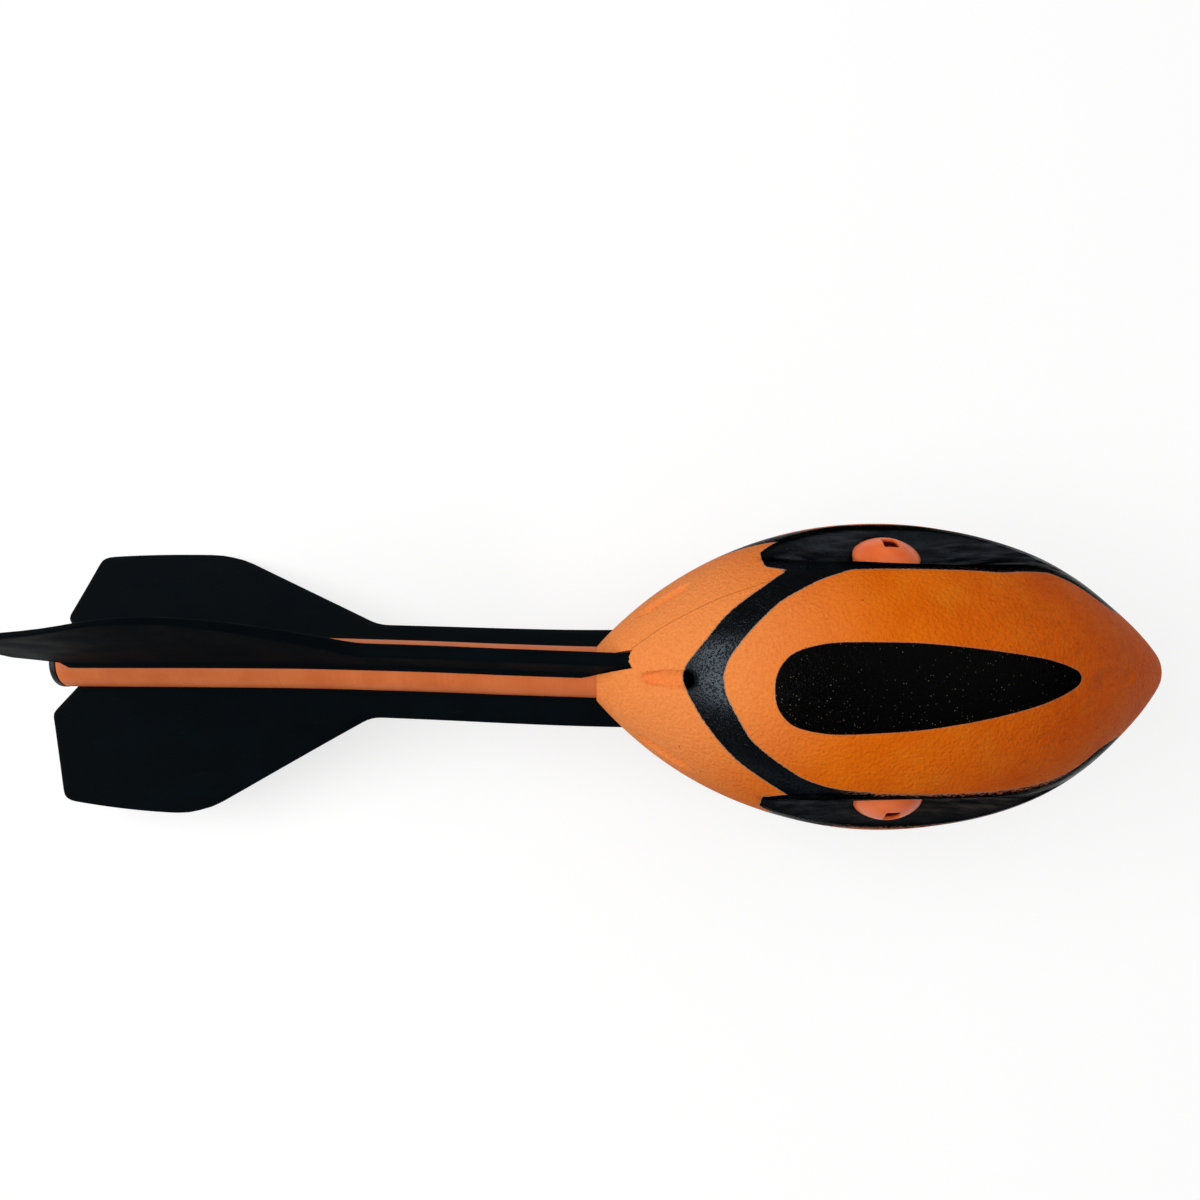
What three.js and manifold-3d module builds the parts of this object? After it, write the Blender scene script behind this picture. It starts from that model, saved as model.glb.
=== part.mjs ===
// Throwing toy: a foam head shaped as a spindle, on a plastic tube that carries three tail
// fins. Three scooped air grooves run along the head, and a whistle stands in each of them.
// Sizes are in millimetres. The toy is built along its own axis, with +X towards the nose,
// and the last lines lay it on the floor, where it rests on its head and two of its fins.
import * as THREE from 'three';
import { mergeVertices } from 'three/addons/utils/BufferGeometryUtils.js';
import Module from 'manifold-3d';

const wasm = await Module();
wasm.setup();

// Clearance between touching pieces, and how far a cutter runs past what it cuts
const GAP = 0.3;
const OVERRUN = 6;

// Foam head: both of its sides follow one long arc, and a small ball rounds the nose
const HEAD_DIAMETER = 88.8;
const HEAD_ARC_RADIUS = 107.5;
const NOSE_RADIUS = 5.5;
const HEAD_TURN = THREE.MathUtils.degToRad(13.8);

// Shaft tube, and how much of it shows behind the head and reaches into it
const TUBE_DIAMETER = 15;
const TUBE_WALL = 1.5;
const TUBE_BEHIND_HEAD = 155.2;
const TUBE_IN_HEAD = 104;
const TUBE_EDGE = 0.4;

// Tail cap: a push-in plug whose flange covers the end of the tube
const CAP_FLANGE = 1.8;
const CAP_ROUND = 0.9;
const CAP_SPIGOT_LENGTH = 12;
const CAP_SPIGOT_WALL = 1.4;
const CAP_LEAD_IN = 0.8;

// Front stop: the plug that closes the tube's other end, inside the foam
const STOP_DOME = 5;
const STOP_SPIGOT_LENGTH = 10;

// Tail fins: heights above the tube, lengths forward from the trailing edge
const FIN_COUNT = 3;
const FIN_OVERHANG = 8.2;
const FIN_ROOT_SETBACK = 9.1;
const FIN_ROOT_RISE = 7.5;
const FIN_REAR_HEIGHT = 37.3;
const FIN_SHOULDER_HEIGHT = 41;
const FIN_SHOULDER = 45.1;
const FIN_BLADE_LENGTH = 96.4;
const FIN_STRIP_HEIGHT = 8.5;
const FIN_STRIP_FRONT_HEIGHT = 10;
const FIN_TONGUE = 21;
const FIN_REAR_CORNER = 3;
const FIN_SHOULDER_CORNER = 6;
const FIN_SMALL_CORNER = 2.5;
const FIN_ROOT_THICKNESS = 5;
const FIN_EDGE_THICKNESS = 1.8;
const FIN_EDGE_ROUND = 0.5;
const FIN_FILLET = 1.6;

// Air grooves: a flat shoulder on each side, then a sharp ridge and a round scoop
const GROOVE_COUNT = 3;
const GROOVE_REAR_REACH = 34.9;
const GROOVE_LENGTH = 81.5;
const GROOVE_SHOULDER_WIDTH = 30.4;
const GROOVE_SCOOP_WIDTH = 21;
const GROOVE_SCOOP_DEPTH = 7.2;
const GROOVE_RIDGE_DROP = 1.6;

// The groove from its rear end, 0, to its front end, 1: where each share holds, and the shares
const groovePlaceShares = [0, 0.065, 0.16, 0.28, 0.4, 0.54, 0.66, 0.78, 0.88, 1];
const shoulderShares = [0.28, 0.55, 0.79, 0.95, 1, 0.97, 0.89, 0.74, 0.57, 0.42];
const scoopShares = [0.27, 0.48, 0.7, 0.86, 0.95, 1, 0.95, 0.68, 0.36, 0.1];
const depthShares = [0.12, 0.3, 0.6, 0.86, 1, 0.92, 0.7, 0.4, 0.17, 0.03];
const dropShares = [0, 0.05, 0.25, 0.7, 1, 0.72, 0.35, 0.25, 0.15, 0.05];

// Whistles: a domed cap with a ramp and a sounding slot, over a cup that is sunk in the foam
const WHISTLE_DIAMETER = 18.4;
const WHISTLE_BEHIND_WIDEST = 1.4;
const WHISTLE_TOP_DROP = 1.1;
const WHISTLE_DOME = 7.6;
const WHISTLE_SKIRT = 3;
const WHISTLE_WALL = 1.2;
const WHISTLE_SLOT_LENGTH = 4.2;
const WHISTLE_SLOT_WIDTH = 4.3;
const WHISTLE_SLOT_FORWARD = 2;
const WHISTLE_RAMP_WIDTH = 5.6;
const WHISTLE_RAMP_REACH = 6.5;
const WHISTLE_LIP = 0.3;
const WHISTLE_CUP_DEPTH = 17;
const WHISTLE_SPIGOT = 2.4;

// How full the dome's flanks are: 2 is a half ball, 1 a cone
const domeFullnessShare = 1.6;

// Shallow hollows on the middle line of each panel, one near the tube and one near the nose
const HOLLOW_DEPTH = 0.9;
const REAR_HOLLOW_LENGTH = 13.5;
const REAR_HOLLOW_WIDTH = 4.4;
const REAR_HOLLOW_BEHIND_WIDEST = 61.6;
const NOSE_HOLLOW_LENGTH = 16.5;
const NOSE_HOLLOW_WIDTH = 5.6;
const NOSE_HOLLOW_AHEAD = 56;

// How finely round things are faceted
const HEAD_SIDES = 54;
const HEAD_STEPS = 24;
const NOSE_STEPS = 3;
const TUBE_SIDES = 30;
const WHISTLE_SIDES = 24;
const DOME_STEPS = 6;
const CORNER_STEPS = 4;
const GROOVE_STEPS = 20;
const SCOOP_STEPS = 8;
const ROUND_STEPS = 3;
const LEVEL_STEPS = 24;

// Sizes that follow from those above
const HEAD_RADIUS = HEAD_DIAMETER / 2;
const TUBE_RADIUS = TUBE_DIAMETER / 2;
const TUBE_BORE = TUBE_RADIUS - TUBE_WALL;
const TUBE_LENGTH = TUBE_BEHIND_HEAD + TUBE_IN_HEAD;
const HOLE_RADIUS = TUBE_RADIUS + GAP;
const ARC_DEPTH = HEAD_ARC_RADIUS - HEAD_RADIUS;
const WIDEST = TUBE_BEHIND_HEAD + Math.sqrt(HEAD_ARC_RADIUS ** 2 - (ARC_DEPTH + HOLE_RADIUS) ** 2);
const NOSE_CENTRE = WIDEST + Math.sqrt((HEAD_ARC_RADIUS - NOSE_RADIUS) ** 2 - ARC_DEPTH ** 2);
const WHISTLE_RADIUS = WHISTLE_DIAMETER / 2;
const WHISTLE_AT = WIDEST - WHISTLE_BEHIND_WIDEST;
const GROOVE_REAR = WIDEST - GROOVE_REAR_REACH;
const GROOVE_PITCH = 2 * Math.PI / GROOVE_COUNT;
const FIN_PITCH = 2 * Math.PI / FIN_COUNT;
const QUARTER = Math.PI / 2;

// Heights over the toy's axis: a whistle's top, the foot of its dome, and its seam with the cup
const WHISTLE_TOP = HEAD_RADIUS - WHISTLE_TOP_DROP;
const WHISTLE_FOOT = WHISTLE_TOP - WHISTLE_DOME;
const WHISTLE_SEAM = WHISTLE_FOOT - WHISTLE_SKIRT;

const FOAM = { color: 0xe8842a, roughness: 0.75, metalness: 0 };
const TUBE_PLASTIC = { color: 0xf0763a, roughness: 0.4, metalness: 0 };
const WHISTLE_PLASTIC = { color: 0xf28a5c, roughness: 0.35, metalness: 0 };
const FIN_RUBBER = { color: 0x1d2024, roughness: 0.6, metalness: 0 };
const CAP_PLASTIC = { color: 0x16171a, roughness: 0.5, metalness: 0 };

// Radius of the head's surface at a place along the axis
function headRadius(x) {
  return Math.sqrt(HEAD_ARC_RADIUS ** 2 - (x - WIDEST) ** 2) - ARC_DEPTH;
}

// A closed three.js geometry as a solid that can be cut and joined
function solid(geometry) {
  geometry.deleteAttribute('normal');
  geometry.deleteAttribute('uv');
  const merged = mergeVertices(geometry);
  const corners = merged.index.array;
  const triangles = [];
  for (let i = 0; i < corners.length; i += 3) {
    const [a, b, c] = corners.slice(i, i + 3);
    if (a !== b && b !== c && c !== a) triangles.push(a, b, c);
  }
  return new wasm.Manifold(new wasm.Mesh({
    numProp: 3,
    vertProperties: new Float32Array(merged.attributes.position.array),
    triVerts: new Uint32Array(triangles),
  }));
}

// A solid as a named three.js mesh with a material of its own
function piece(name, body, finish) {
  const { vertProperties, triVerts } = body.getMesh();
  const geometry = new THREE.BufferGeometry();
  geometry.setAttribute('position', new THREE.BufferAttribute(new Float32Array(vertProperties), 3));
  geometry.setIndex(new THREE.BufferAttribute(new Uint32Array(triVerts), 1));
  geometry.computeVertexNormals();
  const mesh = new THREE.Mesh(geometry, new THREE.MeshStandardMaterial(finish));
  mesh.name = name;
  return mesh;
}

// A profile of [place along the axis, radius] points turned about the toy's axis
function turned(profile, sides) {
  const points = profile.map(([x, r]) => new THREE.Vector2(r, x));
  return solid(new THREE.LatheGeometry(points, sides).rotateZ(-QUARTER));
}

// A profile of [radius, height] points turned about the whistle's own upright line
function turnedUpright(profile) {
  const points = profile.map(([r, z]) => new THREE.Vector2(r, z));
  return solid(new THREE.LatheGeometry(points, WHISTLE_SIDES).rotateX(QUARTER).translate(WHISTLE_AT, 0, 0));
}

// A shape drawn in x and z, as thick as given and centred on the toy's upright middle plane
function slab(shape, width) {
  const settings = { depth: width, bevelEnabled: false, curveSegments: CORNER_STEPS };
  return solid(new THREE.ExtrudeGeometry(shape, settings).translate(0, 0, -width / 2).rotateX(QUARTER));
}

// A closed outline with sharp corners at [x, y] points
function outline(points) {
  return new THREE.Shape(points.map(([x, y]) => new THREE.Vector2(x, y)));
}

// A solid turned about the toy's axis
function aboutAxis(body, angle) {
  return body.rotate([THREE.MathUtils.radToDeg(angle), 0, 0]);
}

// Points on an arc about (x, y), from one angle to the other, both in radians
function arc(x, y, radius, from, to, steps) {
  return Array.from({ length: steps + 1 }, (_, i) => {
    const angle = from + (to - from) * i / steps;
    return [x + radius * Math.cos(angle), y + radius * Math.sin(angle)];
  });
}

// A value that runs smoothly through shares given at places from 0 to 1
function smoothShare(shares) {
  const curve = new THREE.CubicInterpolant(groovePlaceShares, shares, 1);
  return (place) => curve.evaluate(place)[0];
}

// A closed solid through sections of the same number of points, given from low x to high x
function loft(sections) {
  const count = sections[0].length;
  const triangles = [];
  for (let s = 0; s + 1 < sections.length; s += 1) {
    for (let i = 0; i < count; i += 1) {
      const a = s * count + i;
      const b = s * count + (i + 1) % count;
      triangles.push(a, b, b + count, a, b + count, a + count);
    }
  }
  const flat = sections[0].map((point) => new THREE.Vector2(point.y, point.z));
  const last = (sections.length - 1) * count;
  for (const [a, b, c] of THREE.ShapeUtils.triangulateShape(flat, [])) {
    triangles.push(a, c, b, last + a, last + b, last + c);
  }
  const geometry = new THREE.BufferGeometry().setFromPoints(sections.flat());
  geometry.setIndex(triangles);
  return solid(geometry);
}

// One section of a groove's cutter, which lies along the top of the head
function grooveSection(place, shoulderAt, scoopAt, depthAt, dropAt) {
  const x = GROOVE_REAR + GROOVE_LENGTH * place;
  const radius = headRadius(x);
  const half = GROOVE_SHOULDER_WIDTH / 2 * shoulderAt(place);
  const ridge = GROOVE_SCOOP_WIDTH / 2 * scoopAt(place);
  const depth = GROOVE_SCOOP_DEPTH * depthAt(place);
  const edgeZ = Math.sqrt(radius ** 2 - half ** 2);
  const ridgeZ = Math.sqrt((radius - GROOVE_RIDGE_DROP * dropAt(place)) ** 2 - ridge ** 2);
  const shoulder = new THREE.Vector2(half - ridge, edgeZ - ridgeZ).normalize();
  const outY = half + shoulder.x * OVERRUN;
  const outZ = edgeZ + shoulder.y * OVERRUN;
  const scoop = (ridge ** 2 + depth ** 2) / (2 * depth);
  const spread = Math.atan2(ridge, scoop - depth);
  const floor = arc(0, ridgeZ - depth + scoop, scoop, -QUARTER - spread, -QUARTER + spread, SCOOP_STEPS);
  const lid = radius + OVERRUN;
  const section = [[-outY, lid], [-outY, outZ], ...floor, [outY, outZ], [outY, lid]];
  return section.map(([y, z]) => new THREE.Vector3(x, y, z));
}

function grooveCutter() {
  const shares = [shoulderShares, scoopShares, depthShares, dropShares].map(smoothShare);
  const sections = [];
  for (let i = 0; i <= GROOVE_STEPS; i += 1) sections.push(grooveSection(i / GROOVE_STEPS, ...shares));
  return loft(sections);
}

// The lens that presses a shallow hollow into the top of the head
function hollowCutter(x, length, width) {
  const slope = Math.asin((x - WIDEST) / HEAD_ARC_RADIUS);
  const lens = new THREE.SphereGeometry(1, WHISTLE_SIDES, DOME_STEPS * 2);
  lens.scale(length / 2, width / 2, HOLLOW_DEPTH).rotateY(slope);
  return solid(lens.translate(x, 0, headRadius(x)));
}

// The room that a whistle needs in the foam, cut from above
function whistlePocket() {
  const floor = WHISTLE_SEAM - WHISTLE_CUP_DEPTH - GAP;
  const radius = WHISTLE_RADIUS + GAP;
  const lid = HEAD_RADIUS + OVERRUN;
  return turnedUpright([[0, floor], [radius, floor], [radius, lid], [0, lid]]);
}

// A fin's outline seen from the side: x along the tube, y away from the axis
function finOutline(grow) {
  const rear = -FIN_OVERHANG;
  const root = TUBE_RADIUS - TUBE_WALL;
  const front = TUBE_BEHIND_HEAD + FIN_TONGUE + grow;
  const corners = [
    [rear + FIN_ROOT_SETBACK, root, 0],
    [rear + FIN_ROOT_SETBACK, TUBE_RADIUS, 0],
    [rear, TUBE_RADIUS + FIN_ROOT_RISE, FIN_SMALL_CORNER],
    [rear, TUBE_RADIUS + FIN_REAR_HEIGHT, FIN_REAR_CORNER],
    [rear + FIN_SHOULDER, TUBE_RADIUS + FIN_SHOULDER_HEIGHT, FIN_SHOULDER_CORNER],
    [rear + FIN_BLADE_LENGTH, TUBE_RADIUS + FIN_STRIP_HEIGHT + grow, FIN_REAR_CORNER],
    [front, TUBE_RADIUS + FIN_STRIP_FRONT_HEIGHT + grow, FIN_SMALL_CORNER],
    [front, root, 0],
  ];
  return roundedShape(corners);
}

// A closed outline through [x, y, corner radius] points, with each corner rounded
function roundedShape(corners) {
  const shape = new THREE.Shape();
  corners.forEach(([x, y, radius], i) => {
    const before = corners.at(i - 1);
    const after = corners[(i + 1) % corners.length];
    const corner = new THREE.Vector2(x, y);
    const back = new THREE.Vector2(before[0], before[1]).sub(corner).setLength(radius).add(corner);
    const on = new THREE.Vector2(after[0], after[1]).sub(corner).setLength(radius).add(corner);
    if (i === 0) shape.moveTo(back.x, back.y);
    else shape.lineTo(back.x, back.y);
    if (radius > 0) shape.quadraticCurveTo(x, y, on.x, on.y);
  });
  return shape;
}

// Thickness of a fin at a distance from the toy's axis
function finThickness(radius) {
  const share = (radius - TUBE_RADIUS) / FIN_SHOULDER_HEIGHT;
  return FIN_ROOT_THICKNESS + (FIN_EDGE_THICKNESS - FIN_ROOT_THICKNESS) * share;
}

// A fin's plate, upright over the axis, thinner towards its outer edge and with a rounded rim
function finPlate() {
  const rimShare = 0.25;
  const geometry = new THREE.ExtrudeGeometry(finOutline(0), {
    depth: 1 - 2 * rimShare,
    bevelThickness: rimShare,
    bevelSize: FIN_EDGE_ROUND,
    bevelOffset: -FIN_EDGE_ROUND,
    bevelSegments: 2,
    curveSegments: CORNER_STEPS,
  }).translate(0, 0, rimShare - 1 / 2);
  const place = geometry.attributes.position;
  for (let i = 0; i < place.count; i += 1) place.setZ(i, place.getZ(i) * finThickness(place.getY(i)));
  return solid(geometry.rotateX(QUARTER));
}

// The fillets at a fin's foot, which end short of the foam
function finFoot() {
  const wide = FIN_ROOT_THICKNESS / 2 + FIN_FILLET;
  const high = TUBE_RADIUS + FIN_FILLET;
  const seat = TUBE_BORE;
  const slim = finThickness(high) / 2 - FIN_EDGE_ROUND / 2;
  const shape = new THREE.Shape();
  shape.moveTo(-wide, seat);
  shape.lineTo(-wide, TUBE_RADIUS - GAP);
  shape.quadraticCurveTo(-slim, TUBE_RADIUS, -slim, high);
  shape.lineTo(slim, high);
  shape.quadraticCurveTo(slim, TUBE_RADIUS, wide, TUBE_RADIUS - GAP);
  shape.lineTo(wide, seat);
  const start = FIN_ROOT_SETBACK - FIN_OVERHANG + FIN_FILLET;
  const depth = TUBE_BEHIND_HEAD - FIN_FILLET - start;
  const foot = new THREE.ExtrudeGeometry(shape, { depth, bevelEnabled: false, curveSegments: ROUND_STEPS });
  return solid(foot.rotateX(QUARTER).rotateZ(QUARTER).translate(start, 0, 0));
}

// The front of the tube's plug, or of the room for it: a dome from its full radius to the axis
function stopDome(x, radius) {
  const quarterCircle = arc(0, 0, 1, QUARTER, 0, DOME_STEPS).slice(1, -1);
  return quarterCircle.map(([along, out]) => [x + STOP_DOME * along, radius * out]);
}

// The room for the tube and its plug, which everything that seats on the tube is cut by
function tubeRoom() {
  const start = -FIN_OVERHANG - OVERRUN;
  const end = TUBE_LENGTH + GAP * 2;
  return turned([[start, 0], [start, HOLE_RADIUS], [end, HOLE_RADIUS], ...stopDome(end, HOLE_RADIUS),
    [end + STOP_DOME, 0]], TUBE_SIDES);
}

function fin() {
  return finPlate().add(finFoot()).subtract(tubeRoom());
}

// The slot in the foam that takes a fin's tongue
function finSlot() {
  return slab(finOutline(GAP), FIN_ROOT_THICKNESS + GAP * 2);
}

function foamHead() {
  const start = Math.asin((TUBE_BEHIND_HEAD - WIDEST) / HEAD_ARC_RADIUS);
  const noseEnd = Math.atan2(NOSE_CENTRE - WIDEST, ARC_DEPTH);
  const side = arc(WIDEST, -ARC_DEPTH, HEAD_ARC_RADIUS, QUARTER - start, QUARTER - noseEnd, HEAD_STEPS);
  const nose = arc(NOSE_CENTRE, 0, NOSE_RADIUS, QUARTER - noseEnd, 0, NOSE_STEPS);
  const profile = [[side[0][0], 0], ...side, ...nose.slice(1, -1), [NOSE_CENTRE + NOSE_RADIUS, 0]];
  let foam = turned(profile, HEAD_SIDES).subtract(tubeRoom());

  const groove = grooveCutter().add(whistlePocket());
  const hollows = hollowCutter(WIDEST - REAR_HOLLOW_BEHIND_WIDEST, REAR_HOLLOW_LENGTH, REAR_HOLLOW_WIDTH)
    .add(hollowCutter(WIDEST + NOSE_HOLLOW_AHEAD, NOSE_HOLLOW_LENGTH, NOSE_HOLLOW_WIDTH));
  const slot = finSlot();
  for (let i = 0; i < GROOVE_COUNT; i += 1) {
    foam = foam.subtract(aboutAxis(groove, GROOVE_PITCH * (i + 1 / 2)));
    foam = foam.subtract(aboutAxis(hollows, GROOVE_PITCH * i));
  }
  for (let i = 0; i < FIN_COUNT; i += 1) foam = foam.subtract(aboutAxis(slot, FIN_PITCH * i - HEAD_TURN));
  return foam;
}

function shaftTube() {
  const inner = TUBE_BORE + TUBE_EDGE;
  const outer = TUBE_RADIUS - TUBE_EDGE;
  return turned([
    [0, inner], [0, outer], [TUBE_EDGE, TUBE_RADIUS], [TUBE_LENGTH - TUBE_EDGE, TUBE_RADIUS],
    [TUBE_LENGTH, outer], [TUBE_LENGTH, inner], [TUBE_LENGTH - TUBE_EDGE, TUBE_BORE], [TUBE_EDGE, TUBE_BORE],
    [0, inner],
  ], TUBE_SIDES);
}

function tailCap() {
  const seat = -GAP;
  const face = seat - CAP_FLANGE;
  const spigot = TUBE_BORE - GAP;
  const bore = spigot - CAP_SPIGOT_WALL;
  const rim = arc(face + CAP_ROUND, TUBE_RADIUS - CAP_ROUND, CAP_ROUND, QUARTER * 2, QUARTER, ROUND_STEPS);
  const end = CAP_SPIGOT_LENGTH;
  return turned([
    [face, 0], ...rim, [seat, TUBE_RADIUS], [seat, spigot], [end - CAP_LEAD_IN, spigot],
    [end, spigot - CAP_LEAD_IN], [end, bore], [0, bore], [0, 0],
  ], TUBE_SIDES);
}

function frontStop() {
  const spigot = TUBE_BORE - GAP;
  const seat = TUBE_LENGTH + GAP;
  const back = TUBE_LENGTH - STOP_SPIGOT_LENGTH;
  return turned([[back, 0], [back, spigot - CAP_LEAD_IN], [back + CAP_LEAD_IN, spigot], [seat, spigot],
    [seat, TUBE_RADIUS], ...stopDome(seat, TUBE_RADIUS), [seat + STOP_DOME, 0]], TUBE_SIDES);
}

// Height of a dome of a given radius and rise, at a distance from the whistle's own line
function domeRise(radius, rise, distance) {
  return rise * (1 - (distance / radius) ** domeFullnessShare) ** (1 / domeFullnessShare);
}

// One side of a dome, from its foot to its top
function domeSide(radius, rise) {
  const side = [];
  for (let i = 0; i <= DOME_STEPS; i += 1) {
    const distance = radius * Math.cos(QUARTER * i / DOME_STEPS) ** (2 / domeFullnessShare);
    side.push([distance, WHISTLE_FOOT + domeRise(radius, rise, distance)]);
  }
  side[DOME_STEPS][0] = 0;
  return side;
}

// Air climbs the ramp from the nose side and breaks on the slot's rear edge
function whistleCap() {
  const inside = WHISTLE_RADIUS - WHISTLE_WALL;
  const shell = turnedUpright([[0, WHISTLE_SEAM], [WHISTLE_RADIUS, WHISTLE_SEAM],
    ...domeSide(WHISTLE_RADIUS, WHISTLE_DOME)]);
  const below = WHISTLE_SEAM - OVERRUN;
  const room = turnedUpright([[0, below], [inside, below], ...domeSide(inside, WHISTLE_DOME - WHISTLE_WALL)]);
  const lid = WHISTLE_TOP + OVERRUN;
  const slotEnd = WHISTLE_AT + WHISTLE_SLOT_FORWARD + WHISTLE_SLOT_LENGTH / 2;
  const slotStart = slotEnd - WHISTLE_SLOT_LENGTH;
  const slotSide = outline([[slotStart, WHISTLE_SEAM], [slotEnd, WHISTLE_SEAM], [slotEnd, lid], [slotStart, lid]]);
  const slot = slab(slotSide, WHISTLE_SLOT_WIDTH);
  const rampEnd = WHISTLE_AT + WHISTLE_RAMP_REACH;
  const rampFoot = WHISTLE_FOOT + domeRise(WHISTLE_RADIUS, WHISTLE_DOME, WHISTLE_RAMP_REACH);
  const edge = WHISTLE_TOP - WHISTLE_LIP;
  const rampSide = outline([[slotStart, edge], [rampEnd, rampFoot], [rampEnd, lid], [slotStart, lid]]);
  const ramp = slab(rampSide, WHISTLE_RAMP_WIDTH);
  return shell.subtract(ramp).subtract(room).subtract(slot);
}

function whistleCup() {
  const rim = WHISTLE_SEAM - GAP;
  const floor = WHISTLE_SEAM - WHISTLE_CUP_DEPTH;
  const spigot = WHISTLE_RADIUS - WHISTLE_WALL - GAP;
  const bore = spigot - WHISTLE_WALL;
  const inside = floor + WHISTLE_WALL;
  return turnedUpright([
    [0, floor], [WHISTLE_RADIUS - WHISTLE_WALL, floor], [WHISTLE_RADIUS, inside], [WHISTLE_RADIUS, rim],
    [spigot, rim], [spigot, rim + WHISTLE_SPIGOT], [bore, rim + WHISTLE_SPIGOT],
    [bore, inside + WHISTLE_WALL], [bore - WHISTLE_WALL, inside], [0, inside],
  ]);
}

const tail = new THREE.Group();
tail.add(piece('shaft_tube', shaftTube(), TUBE_PLASTIC));
tail.add(piece('tail_cap', tailCap(), CAP_PLASTIC));
tail.add(piece('front_stop', frontStop(), CAP_PLASTIC));
const finNames = ['fin_top', 'fin_right', 'fin_left'];
finNames.forEach((name, i) => {
  const blade = piece(name, fin(), FIN_RUBBER);
  blade.rotation.x = FIN_PITCH * i;
  tail.add(blade);
});
tail.rotation.x = -HEAD_TURN;

const head = new THREE.Group();
head.add(piece('foam_head', foamHead(), FOAM));
for (let i = 0; i < GROOVE_COUNT; i += 1) {
  const whistle = new THREE.Group();
  whistle.rotation.x = GROOVE_PITCH * (i + 1 / 2);
  whistle.add(piece(`whistle_cap_${i + 1}`, whistleCap(), WHISTLE_PLASTIC));
  whistle.add(piece(`whistle_cup_${i + 1}`, whistleCup(), WHISTLE_PLASTIC));
  head.add(whistle);
}

// With a groove downwards the toy rocks on that whistle until a groove shoulder meets the floor
const shoulderHeight = Math.sqrt(HEAD_RADIUS ** 2 - (GROOVE_SHOULDER_WIDTH / 2) ** 2);
const toy = new THREE.Group();
toy.add(tail, head);
toy.rotation.x = Math.atan2(WHISTLE_TOP - shoulderHeight, GROOVE_SHOULDER_WIDTH / 2);

const model = new THREE.Group();
model.add(toy);

function boundsOf(group) {
  return new THREE.Box3().setFromObject(group, true);
}

// Then the nose rises until the head and the lowest fin stand on one level
let level = 0;
let steep = Math.PI / LEVEL_STEPS;
for (let i = 0; i < LEVEL_STEPS; i += 1) {
  const climb = (level + steep) / 2;
  model.rotation.y = -climb;
  model.updateMatrixWorld(true);
  if (boundsOf(head).min.z < boundsOf(tail).min.z) level = climb;
  else steep = climb;
}

// The origin is on the floor, under the middle of the whole toy
const bounds = boundsOf(model);
const middle = bounds.getCenter(new THREE.Vector3());
model.position.set(-middle.x, -middle.y, -bounds.min.z);
model.updateMatrixWorld(true);

export default model;
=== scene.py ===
# %% [markdown]
# # A foam throwing toy with whistles
# The real toy is a moulded foam head on a plastic tube, with three soft fins at the tail. The
# CAD model fixes where everything is. This lesson dresses it: each visible piece is built
# again in mesh code with the detail that the CAD leaves out, and gets a node material. The
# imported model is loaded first, because every piece below takes its place from it.

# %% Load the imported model
import math

import bmesh
import bpy
import numpy as np
from mathutils import Matrix, Vector, geometry


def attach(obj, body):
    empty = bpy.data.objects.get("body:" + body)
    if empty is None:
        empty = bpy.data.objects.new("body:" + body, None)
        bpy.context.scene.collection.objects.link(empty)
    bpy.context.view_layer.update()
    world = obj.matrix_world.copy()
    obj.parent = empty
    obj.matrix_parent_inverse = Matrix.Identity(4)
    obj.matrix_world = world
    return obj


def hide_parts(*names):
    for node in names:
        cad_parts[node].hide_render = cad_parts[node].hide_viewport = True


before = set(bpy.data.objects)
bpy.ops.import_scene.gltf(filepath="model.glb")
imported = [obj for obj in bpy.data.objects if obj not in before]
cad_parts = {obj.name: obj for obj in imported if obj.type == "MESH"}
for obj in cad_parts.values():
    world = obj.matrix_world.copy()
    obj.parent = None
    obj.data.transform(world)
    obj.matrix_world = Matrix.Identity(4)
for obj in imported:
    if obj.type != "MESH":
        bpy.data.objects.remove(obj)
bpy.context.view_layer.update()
print("CAD nodes:", len(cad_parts))

# %% [markdown]
# ## The toy's own line
# The toy lies tilted on the floor, but its pieces are simplest to draw straight: x along the
# tube from its tail end, z out through the middle of the top panel, all in millimetres. The
# tube gives the line, because the middle of a round tube can be measured exactly, and the top
# fin gives the turn about it. One matrix then carries every drawing to its place.

# %% Measure the tube and the top fin
MM = 0.001
HEAD_TURN = math.radians(13.8)  # from the top fin to the middle of the top panel
BLADE_FROM = 30  # millimetres: what is further from the tube's line is the fin's blade


def node_points(name):
    """The corners of a CAD node in metres."""
    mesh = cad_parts[name].data
    points = np.empty(len(mesh.vertices) * 3, np.float32)
    mesh.vertices.foreach_get("co", points)
    return points.reshape(-1, 3).astype(float)


tube_points = node_points("shaft_tube")
tube_middle = tube_points.mean(0)
forward = np.linalg.svd(tube_points - tube_middle, full_matrices=False)[2][0]
forward *= np.sign(forward[0])
reach = (tube_points - tube_middle) @ forward
tube_end = tube_middle + forward * reach.min()
TUBE_LENGTH = np.ptp(reach) / MM
blade = node_points("fin_top") - tube_end
blade -= np.outer(blade @ forward, forward)
blade_up = blade[np.linalg.norm(blade, axis=1) > BLADE_FROM * MM].mean(0)
blade_up /= np.linalg.norm(blade_up)
fin_frame = Matrix((forward, np.cross(blade_up, forward), blade_up))
toy_turn = fin_frame.transposed() @ Matrix.Rotation(HEAD_TURN, 3, "X")
toy_frame = Matrix.Translation(tube_end) @ toy_turn.to_4x4() @ Matrix.Scale(MM, 4)
print(f"tube {TUBE_LENGTH:.1f} mm long, climbs {math.degrees(math.asin(forward[2])):.2f} degrees")

# %% [markdown]
# ## The camera
# The picture was taken from close by, so near parts of the head look larger than far ones. A
# short distance and a matching focal length give the same pull. The camera stands over the
# middle of the toy, a little to one side of the top panel, and is level with the tube.

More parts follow.
